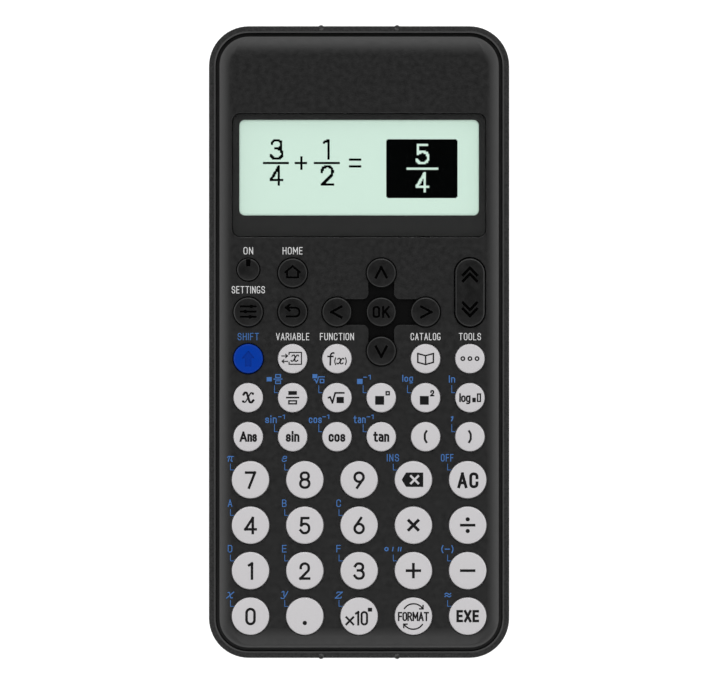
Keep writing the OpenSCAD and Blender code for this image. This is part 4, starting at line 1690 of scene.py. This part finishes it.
def paint(look: Look, *nodes: str) -> None:
    """Puts a finish on CAD nodes.

    Args:
        look: The finish.
        nodes: Names of the nodes.
    """
    for node in nodes:
        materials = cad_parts[node].data.materials
        if not materials:
            materials.append(look.material)
        for slot in range(len(materials)):
            materials[slot] = look.material
        LOG.info("node %s in %s", node, look.value.name)


@dataclass
class CaseShells:
    """Front and rear shell, battery cover and screws, with the printing on the face.

    Attributes:
        plan: Where the keys stand.
        face_z: Height of the face.
        cross_depth: Depth of the cross-shaped recess.
        cross_w: Width of its arms.
        cross_r: Radius of its inner corners.
        hole_d: Diameter of the key holes in it.
        cross_floor: How the sheet of painted shade lies on its floor.
        cross_cut: How far the holes reach through that sheet.
        label_h: Cap height of the labels.
        label_line: Pen width of the labels.
        label_rows: Heights of the labels up the face.
        label_gap: Space between their letters.
        leader_line: Pen width of the small angles beside the keys.
        ink: How the printing lies on the face.
    """

    plan: KeyPlan
    face_z: float = 12.6
    cross_depth: float = 0.8
    cross_w: float = 6.65
    cross_r: float = 1.4
    hole_d: float = 8.0
    cross_floor: InkLayer = InkLayer(thickness=0.02, sink=0.0)
    cross_cut: InkLayer = InkLayer(thickness=0.4, sink=0.2)
    label_h: float = 1.85
    label_line: float = 0.185
    label_rows: tuple[float, float, float] = (23.4, 13.4, 1.4)
    label_gap: float = 2.9
    leader_line: float = 0.16
    ink: InkLayer = InkLayer(thickness=0.03, sink=0.01)

    def labels(self) -> dict[Look, list[Mark]]:
        """Gives the words over the keys, by ink.

        Returns:
            The words.
        """
        count = self.plan.columns
        columns = [(c - (count - 1) / 2) * self.plan.function_pitch for c in range(count)]
        high, mid, low = self.label_rows
        size = (self.label_h, self.label_line)
        placed = [
            ("ON", 2.45, 0, high),
            ("HOME", 5.1, 1, high),
            ("SETTINGS", 8.5, 0, mid),
            ("VARIABLE", 8.5, 1, low),
            ("FUNCTION", 8.7, 2, low),
            ("CATALOG", 7.65, 4, low),
            ("TOOLS", 5.65, 5, low),
            ("SHIFT", 5.45, 0, low),
        ]
        words = [Word(text, w, *size, columns[c], y, gap=self.label_gap) for text, w, c, y in placed]
        return {Look.WHITE_INK: words[:-1], Look.BLUE_INK: words[-1:]}

    def cross(self) -> Piece:
        """Makes a near-black sheet of painted shade on the floor of the recess between the arrow keys.

        Returns:
            The sheet, with its key holes cut.
        """
        w, x, y = self.cross_w / 2, self.plan.function_pitch, self.plan.arrow_pitch
        corner = (w, w, self.cross_r)
        quarter = [(x, w), corner, (w, y)]
        outline = [
            (sx * p[0], sy * p[1], *p[2:])
            for sx, sy in ((1, 1), (-1, 1), (-1, -1), (1, -1))
            for p in quarter[:: sx * sy]
        ]
        keys = ((0, 0), (x, 0), (-x, 0), (0, y), (0, -y))
        level = FlatTop(self.face_z - self.cross_depth)
        spot = self.plan.middle("key_ok")
        # The floor piece is a sheet of painted shade that darkens the recess.
        floor = self.cross_floor.mesh((Patch(Stroke(tuple(outline), True)),), level)
        holes = self.cross_cut.mesh(tuple(Dot(*k, self.hole_d) for k in keys), level)
        piece = Piece("cross_floor", floor, *spot).dress(Look.RECESS)
        return piece.cut(Piece("cross_holes", holes, *spot).dress(Look.RECESS))

    def leader(self, number: bool) -> Line:
        """Gives the small angle that leads from a blue legend to its key."""
        drawn = "-5.15,4.0 -5.15,2.5 -4.3,2.5" if number else "-4.65,3.1 -4.65,1.28 -3.85,1.28"
        return Line(drawn, self.leader_line)

    def build(self) -> None:
        """Dresses the shells and prints the face."""
        paint(Look.FACE, "front_case")
        paint(Look.RIM, "rear_case", "battery_cover")
        paint(Look.STEEL, "case_screws", "cover_screw")
        # Lays the sheet of painted shade in the arrow keys' recess.
        self.cross().ride(CASE_BODY)
        level = FlatTop(self.face_z)
        for look, words in self.labels().items():
            name = "labels_" + look.name.split("_")[0].lower()
            layer = self.ink.mesh(tuple(words), level)
            Piece(name, layer).dress(look).ride(CASE_BODY)
        for node, marks in SECOND_LEGENDS.items():
            number = self.plan.diameter(node) == self.plan.number_d
            layer = self.ink.mesh((*marks, self.leader(number)), level)
            piece = Piece("second_" + short(node), layer, *self.plan.middle(node))
            piece.dress(Look.BLUE_INK).ride(CASE_BODY)


@dataclass
class Display:
    """Window with its printed mask, and the glass with its dots.

    Attributes:
        window_w: Width of the mask.
        window_l: Length of the mask up the face.
        window_y: Middle of the mask up the face.
        window_r: Corner radius of the mask.
        shade_line_w: Width of the mask's outer line of painted shade.
        view_w: Width of the clear view.
        view_l: Length of the clear view.
        view_y: Middle of the clear view.
        view_r: Corner radius of the clear view.
        mask_z: Height of the mask.
        mask_t: Thickness of the mask.
        glass_z: Height of the display glass.
        film_t: Thickness of the polarising film on the glass.
        film_lap: How far the film reaches past the view.
        pitch: Spacing of the dots.
        columns: Dots across.
        rows: Dots up.
        dots_y: Middle of the dots up the face.
        dots_lift: Height of the dots over the film.
        corner_steps: Steps round a corner of mask and view.
        steps_per_dot: Steps along a stroke in each dot.
        figure_h: Height of a figure in dots.
        block: Columns and rows that the inverse block spans.
    """

    window_w: float = 65.1
    window_l: float = 31.7
    window_y: float = 42.75
    window_r: float = 2.1
    shade_line_w: float = 0.18
    view_w: float = 61.4
    view_l: float = 24.5
    view_y: float = 44.7
    view_r: float = 1.4
    mask_z: float = 11.31
    mask_t: float = 0.02
    glass_z: float = 10.7
    film_t: float = 0.3
    film_lap: float = 0.45
    pitch: float = 0.29
    columns: int = 192
    rows: int = 63
    dots_y: float = 44.3
    dots_lift: float = 0.01
    corner_steps: int = 12
    steps_per_dot: int = 4
    figure_h: int = 16
    block: tuple[int, int, int, int] = (120, 183, 6, 58)

    def loop(self, bm: BMesh, w: float, l: float, r: float, y: float) -> list[BMEdge]:
        """Draws a rectangle with round corners.

        Args:
            bm: The mesh to draw in.
            w: Width.
            l: Length.
            r: Corner radius.
            y: Middle up the face.

        Returns:
            The edges of the loop.
        """
        spot = Matrix.Translation((0, y, 0)) @ Matrix.Diagonal((w, l, 1, 1))
        made = bmesh.ops.create_grid(bm, x_segments=1, y_segments=1, size=0.5, matrix=spot)["verts"]
        bmesh.ops.bevel(
            bm,
            geom=made,
            offset=r,
            affect="VERTICES",
            segments=self.corner_steps,
            profile=0.5,
            material=-1,
        )
        faces = bm.faces[:]
        edges = [e for f in faces for e in f.edges]
        bmesh.ops.delete(bm, geom=faces, context="FACES_ONLY")
        return edges

    def mask(self) -> BMesh:
        """Draws the printed border under the window, with a thin outer line of painted shade.

        Returns:
            The closed border.
        """
        bm = bmesh.new()
        w, l, r, y = self.window_w, self.window_l, self.window_r, self.window_y
        seam = self.shade_line_w
        outer = self.loop(bm, w, l, r, y)
        middle = self.loop(bm, w - 2 * seam, l - 2 * seam, r - seam, y)
        inner = self.loop(bm, self.view_w, self.view_l, self.view_r, self.view_y)
        # The ring between the outer and middle loops takes the second slot, a thin line of painted
        # shade.
        for slot, edges in enumerate(([*middle, *inner], [*outer, *middle])):
            for face in bmesh.ops.bridge_loops(bm, edges=edges)["faces"]:
                face.material_index = slot
        thicken(bm, self.mask_t)
        bmesh.ops.translate(bm, verts=bm.verts, vec=(0, 0, self.mask_z))
        return bm

    def lit(self, word: Word) -> Dots:
        """Finds the dots that a word lights.

        Args:
            word: The word, measured in dots from the lower left.

        Returns:
            Columns and rows of the lit dots.
        """
        dots = set()
        for stroke in Lettering.strokes(word):
            path = stroke.path()
            ends = [*path, path[0]] if stroke.closed else path
            for a, b in zip(ends, ends[1:]):
                steps = max(1, math.ceil((b - a).length * self.steps_per_dot))
                spots = (a.lerp(b, k / steps) for k in range(steps + 1))
                dots.update((round(p.x), round(p.y)) for p in spots)
        return dots

    def shown(self, figures: list[tuple[str, int, int, int]], bars: list[tuple[int, ...]]) -> Dots:
        """Finds the dots of figures, two dots thick, and of bars.

        Args:
            figures: Sign, width and middle of each figure.
            bars: Columns and rows that each bar spans.

        Returns:
            Columns and rows of the lit dots.
        """
        words = [Word(sign, w, self.figure_h, 0, x, y) for sign, w, x, y in figures]
        thin = set().union(*map(self.lit, words))
        dots = {(x + dx, y + dy) for x, y in thin for dx in (0, 1) for dy in (0, 1)}
        for left, right, low, high in bars:
            dots |= {(x, y) for x in range(left, right) for y in range(low, high)}
        return dots

    def screen(self) -> Dots:
        """Lays out a sum of two fractions with its result in an inverse block.

        Returns:
            Columns and rows of the lit dots.
        """
        fraction_bars = [(11, 34, 36, 38), (56, 79, 36, 38)]
        plus = [(39, 50, 36, 38), (44, 46, 31, 43)]
        equals = [(87, 98, 33, 35), (87, 98, 39, 41)]
        figures = [("3", 10, 22, 48), ("4", 10, 22, 25), ("1", 4, 66, 48), ("2", 10, 67, 25)]
        task = self.shown(figures, [*fraction_bars, *plus, *equals])
        result = self.shown([("5", 10, 151, 44), ("4", 10, 151, 19)], [(138, 166, 31, 33)])
        left, right, low, high = self.block
        corners = {(x, y) for x in (left, right - 1) for y in (low, high - 1)}
        return task | (self.shown([], [self.block]) - corners - result)

    def film(self) -> BMesh:
        """Draws the film on the glass, which fits in the shell's opening.

        Returns:
            The closed film.
        """
        bm = bmesh.new()
        size = (self.view_w + 2 * self.film_lap, self.view_l + 2 * self.film_lap, self.film_t, 1)
        spot = Matrix.Translation((0, self.view_y, self.glass_z + self.film_t / 2))
        bmesh.ops.create_cube(bm, size=1, matrix=spot @ Matrix.Diagonal(size))
        return bm

    def dots(self) -> BMesh:
        """Draws the whole field of dots and takes the unlit ones away.

        Returns:
            The lit dots.
        """
        bm = bmesh.new()
        size = (self.columns * self.pitch, self.rows * self.pitch)
        height = self.glass_z + self.film_t + self.dots_lift
        spot = Matrix.Translation((0, self.dots_y, height)) @ Matrix.Diagonal((*size, 1, 1))
        bmesh.ops.create_grid(
            bm, x_segments=self.columns, y_segments=self.rows, size=0.5, matrix=spot
        )
        lit = self.screen()
        corner = Vector((-size[0] / 2, self.dots_y - size[1] / 2, 0))
        unlit = []
        for face in bm.faces:
            place = (face.calc_center_median() - corner) / self.pitch
            if (int(place.x), int(place.y)) not in lit:
                unlit.append(face)
        bmesh.ops.delete(bm, geom=unlit, context="FACES")
        return bm

    def build(self) -> None:
        """Dresses the window and the glass and lays on the mask and the dots."""
        paint(Look.WINDOW, "display_window")
        paint(Look.DISPLAY, "lcd_panel")
        # The mask's second finish is the painted shade of its outer line.
        Piece("window_mask", self.mask()).dress(Look.MASK, Look.RECESS).ride(CASE_BODY)
        Piece("display_film", self.film()).dress(Look.DISPLAY).ride(CASE_BODY)
        Piece("display_dots", self.dots()).dress(Look.DOT_INK).ride(CASE_BODY)


@dataclass
class Keypad:
    """Rubber sheet on the board, with a dome under each key.

    Attributes:
        plan: Where the keys stand.
        node: The CAD node of sheet and domes.
        slot: The record's material slot; not used.
        board_z: Height of the sheet's underside.
        sheet_z: Height of the sheet's top.
        roof_z: Height of a dome's inner roof.
        top_z: Height of a dome's top, where a stem stands.
        pill_z: Height of a contact pill's face.
        foot_r: Radius of a dome's foot.
        top_r: Radius of a dome's top.
        hollow: How much less the radius is inside.
        pill_r: Radius of a pill.
        travel: How far a key goes down.
        rock: How far the page rocker's stems go down.
        rocker_span: Distance between the page rocker's two domes.
        spare: Room left over a folded dome.
        weld: Points of the CAD node that are nearer than this are one.
        turns: Steps round a dome.
    """

    plan: KeyPlan
    node: str = "rubber_keypad"
    slot: str = "rubber_grey"
    board_z: float = 7.2
    sheet_z: float = 8.0
    roof_z: float = 9.4
    top_z: float = 10.1
    pill_z: float = 8.2
    foot_r: float = 3.0
    top_r: float = 1.8
    hollow: float = 0.25
    pill_r: float = 1.1
    travel: float = 1.0
    rock: float = 0.41
    rocker_span: float = 10.0
    spare: float = 0.02
    weld: float = 1e-4
    turns: int = 36

    def places(self) -> dict[str, tuple[str, float, Point]]:
        """Gives each dome's joint, the way its stem goes and its middle, by its name.

        Returns:
            The domes.
        """
        out = {}
        for node in {**KEY_CUTS, **KEY_LEGENDS}:
            x, y = self.plan.middle(node)
            if node == "key_page":
                for side, word in ((0.5, "up"), (-0.5, "down")):
                    spot = (x, y + side * self.rocker_span)
                    out[f"dome_page_{word}"] = ("page_rock", self.rock, spot)
            else:
                out["dome_" + short(node)] = (short(node) + "_press", self.travel, (x, y))
        return out

    def mouth_r(self) -> float:
        """Gives the radius of a dome's hollow at the sheet's top."""
        share = (self.sheet_z - self.board_z) / (self.roof_z - self.board_z)
        return self.foot_r - self.hollow + share * (self.top_r - self.foot_r)

    def dome(self) -> BMesh:
        """Turns a dome with its contact pill about its own middle.

        Returns:
            The closed dome.
        """
        bm = bmesh.new()
        corners = [
            (self.top_r, self.top_z),
            (self.foot_r, self.sheet_z),
            (self.mouth_r(), self.sheet_z),
            (self.top_r - self.hollow, self.roof_z),
            (self.pill_r, self.roof_z),
            (self.pill_r, self.pill_z),
            (0, self.pill_z),
        ]
        trace(bm, bm.verts.new((0, 0, self.top_z)), corners)
        return turned(bm, self.turns)

    def sheet(self, spots: list[Point]) -> BMesh:
        """Takes the domes off a copy of the CAD node and leaves a hole under each.

        Args:
            spots: Middles of the domes.

        Returns:
            The closed sheet, in millimetres.
        """
        bm = bmesh.new()
        bm.from_mesh(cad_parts[self.node].data)
        bmesh.ops.scale(bm, verts=bm.verts, vec=(1 / MM, 1 / MM, 1 / MM))
        bmesh.ops.remove_doubles(bm, verts=bm.verts, dist=self.weld)
        tree = KDTree(len(spots))
        for k, spot in enumerate(spots):
            tree.insert((*spot, 0), k)
        tree.balance()

        def owner(vert: BMVert) -> int:
            """Gives the dome that a vertex belongs to, or -1 for none."""
            _, k, gap = tree.find((vert.co.x, vert.co.y, 0))
            return k if gap < self.foot_r + self.spare else -1

        owners = [{owner(v) for v in face.verts} for face in bm.faces]
        domes = [f for f, found in zip(bm.faces, owners) if len(found) == 1 and -1 not in found]
        bmesh.ops.delete(bm, geom=domes, context="FACES")
        middle = (self.board_z + self.sheet_z) / 2
        rims = [e for e in bm.edges if e.is_boundary]
        upper = [e for e in rims if e.verts[0].co.z > middle]
        made = bmesh.ops.extrude_edge_only(bm, edges=upper)["geom"]
        for vert in picked(made, BMVert):
            centre = Vector((*spots[owner(vert)], vert.co.z))
            vert.co = centre.lerp(vert.co, self.mouth_r() / self.foot_r)
        rings: dict[int, list[BMEdge]] = {}
        for edge in bm.edges:
            if edge.is_boundary:
                rings.setdefault(owner(edge.verts[0]), []).append(edge)
        for edges in rings.values():
            bmesh.ops.bridge_loops(bm, edges=edges)
        bmesh.ops.recalc_face_normals(bm, faces=bm.faces)
        return bm

    def build(self) -> None:
        """Makes the sheet and its domes."""
        places = self.places()
        sheet = Piece("keypad_sheet", self.sheet([spot for _, _, spot in places.values()]))
        sheet.dress(Look.RUBBER).smooth().ride(CASE_BODY)
        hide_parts(self.node)
        for name, (joint, way, spot) in places.items():
            dome = Piece(name, self.dome(), *spot).dress(Look.RUBBER).smooth().ride(CASE_BODY)
            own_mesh(dome.object)


@dataclass
class InnerPieces:
    """What the case holds beside the keypad.

    Attributes:
        board: Node of the circuit board.
        connectors: Node of the strips between board and display.
        cell: Node of the dry cell.
        contacts: Nodes of the cell's contacts.
    """

    board: str = "circuit_board"
    connectors: str = "lcd_connectors"
    cell: str = "battery"
    contacts: tuple[str, str] = ("battery_contact", "battery_spring")

    def build(self) -> None:
        """Dresses the inner pieces."""
        paint(Look.BOARD, self.board)
        paint(Look.STRIP, self.connectors)
        paint(Look.CELL, self.cell)
        paint(Look.STEEL, *self.contacts)


@dataclass
class Studio:
    """Pale floor, soft light all round and a long lens straight above.

    Attributes:
        image: Width and height of the picture in pixels.
        pixels_per_mm: Scale of the picture at the face.
        centre_px: Where the middle of the case stands in the picture.
        distance: Height of the camera above the face, in metres.
        face_z: Height of the face, in metres.
        sky: Heights, as cosines from the zenith, and how bright the sky is there.
        tilt: Share by which the sky is brighter on the far side.
        lamp_size: Size of the lamps, in metres.
        lamps: Place of each lamp, in metres, and its power, in watts.
        sensor: Width of the camera's sensor, in millimetres.
        reach: How far the camera sees, in metres.
        floor_r: Radius of the floor, in millimetres.
        floor_z: Height of the floor, in millimetres.
        floor_steps: Corners of the floor.
        floor_tone: Share of light that the floor gives back.
        floor_glow: Light that the floor adds where the camera sees it, also through or in the part.
    """

    image: tuple[int, int] = (706, 685)
    pixels_per_mm: float = 3.902
    centre_px: tuple[float, float] = (359.1, 342.05)
    distance: float = 5.0
    face_z: float = 0.0126
    sky: tuple[Point, ...] = ((0.02, 0.7), (0.15, 1.08), (0.42, 1.0), (0.84, 0.95), (0.965, 0.05))
    tilt: float = 0.3
    lamp_size: float = 0.8
    lamps: tuple[tuple[Point, float], ...] = (
        ((0.05, 0.8, 0.66), 2.1),
        ((0.0, -0.56, 0.86), 1.7),
        ((-0.95, 0.0, 0.3), 1.0),
        ((0.95, 0.0, 0.3), 0.9),
    )
    sensor: float = 36.0
    reach: float = 20.0
    floor_r: float = 4000.0
    floor_z: float = -0.2
    floor_steps: int = 64
    floor_tone: float = 0.86
    floor_glow: float = 0.6

    def camera(self) -> None:
        """Sets the camera straight above the case."""
        pixel = MM / self.pixels_per_mm
        width, height = self.image
        lens = bpy.data.cameras.new("camera")
        lens.sensor_width = self.sensor
        lens.lens = self.sensor * self.distance / (width * pixel)
        lens.clip_end = self.reach
        eye = bpy.data.objects.new("camera", lens)
        eye.location = (
            (width / 2 - self.centre_px[0]) * pixel,
            (self.centre_px[1] - height / 2) * pixel,
            self.face_z + self.distance,
        )
        bpy.context.scene.collection.objects.link(eye)
        bpy.context.scene.camera = eye

    def world(self) -> None:
        """Sets a sky that is brightest in a ring half way up."""
        sheet = ShaderSheet(bpy.data.worlds.new("studio"))
        apart = sheet.add("SeparateXYZ", sheet.add("TexCoord").outputs["Generated"]).outputs
        ramp = sheet.add("ValToRGB", apart["Z"])
        stops = ramp.color_ramp.elements
        for height, level in self.sky:
            stops.new(height).color = (level, level, level, 1)
        stops.remove(stops[-1])
        stops.remove(stops[0])
        side = sheet.add("Math", apart["Y"], self.tilt, 1.0, operation="MULTIPLY_ADD")
        back = sheet.add("Background", ramp.outputs[0], side.outputs[0])
        bpy.context.scene.world = sheet.finish(back)

    def floor(self) -> None:
        """Lays a wide white floor that keeps the shadow."""
        bm = bmesh.new()
        steps = self.floor_steps
        bmesh.ops.create_circle(bm, cap_ends=True, segments=steps, radius=self.floor_r)
        bmesh.ops.translate(bm, verts=bm.verts, vec=(0, 0, self.floor_z))
        sheet = ShaderSheet(bpy.data.materials.new("floor"))
        card = sheet.add("BsdfDiffuse", Color=(*[self.floor_tone] * 3, 1)).outputs[0]
        glow = sheet.add("Emission", Color=(1, 1, 1, 1), Strength=self.floor_glow).outputs[0]
        both = sheet.add("AddShader", card, glow).outputs[0]
        seen = sheet.either("Is Camera Ray", "Is Glossy Ray", "Is Transmission Ray")
        floor = Piece("floor", bm)
        floor.object.data.materials.append(sheet.finish(sheet.add("MixShader", seen, card, both)))

    def light(self) -> None:
        """Hangs a soft lamp beyond each side of the case."""
        for place, power in self.lamps:
            lamp = bpy.data.lights.new("lamp", "AREA")
            lamp.size = self.lamp_size
            lamp.energy = power
            stand = bpy.data.objects.new("lamp", lamp)
            stand.location = place
            stand.rotation_euler = (-Vector(place)).to_track_quat("-Z", "Y").to_euler()
            bpy.context.scene.collection.objects.link(stand)

    def build(self) -> None:
        """Sets camera, sky, floor and lamps."""
        self.camera()
        self.world()
        self.floor()
        self.light()
        bpy.context.scene.view_settings.view_transform = "Standard"


def main() -> None:
    """Builds the studio and every sub-assembly."""
    logging.basicConfig(level=logging.INFO, format="%(message)s", force=True)
    plan = KeyPlan()
    for assembly in (Studio(), CaseShells(plan), Display(), Keys(plan), Keypad(plan), InnerPieces()):
        assembly.build()
        LOG.info("built %s", type(assembly).__name__)
    bpy.context.view_layer.update()


if __name__ == "__main__":
    main()
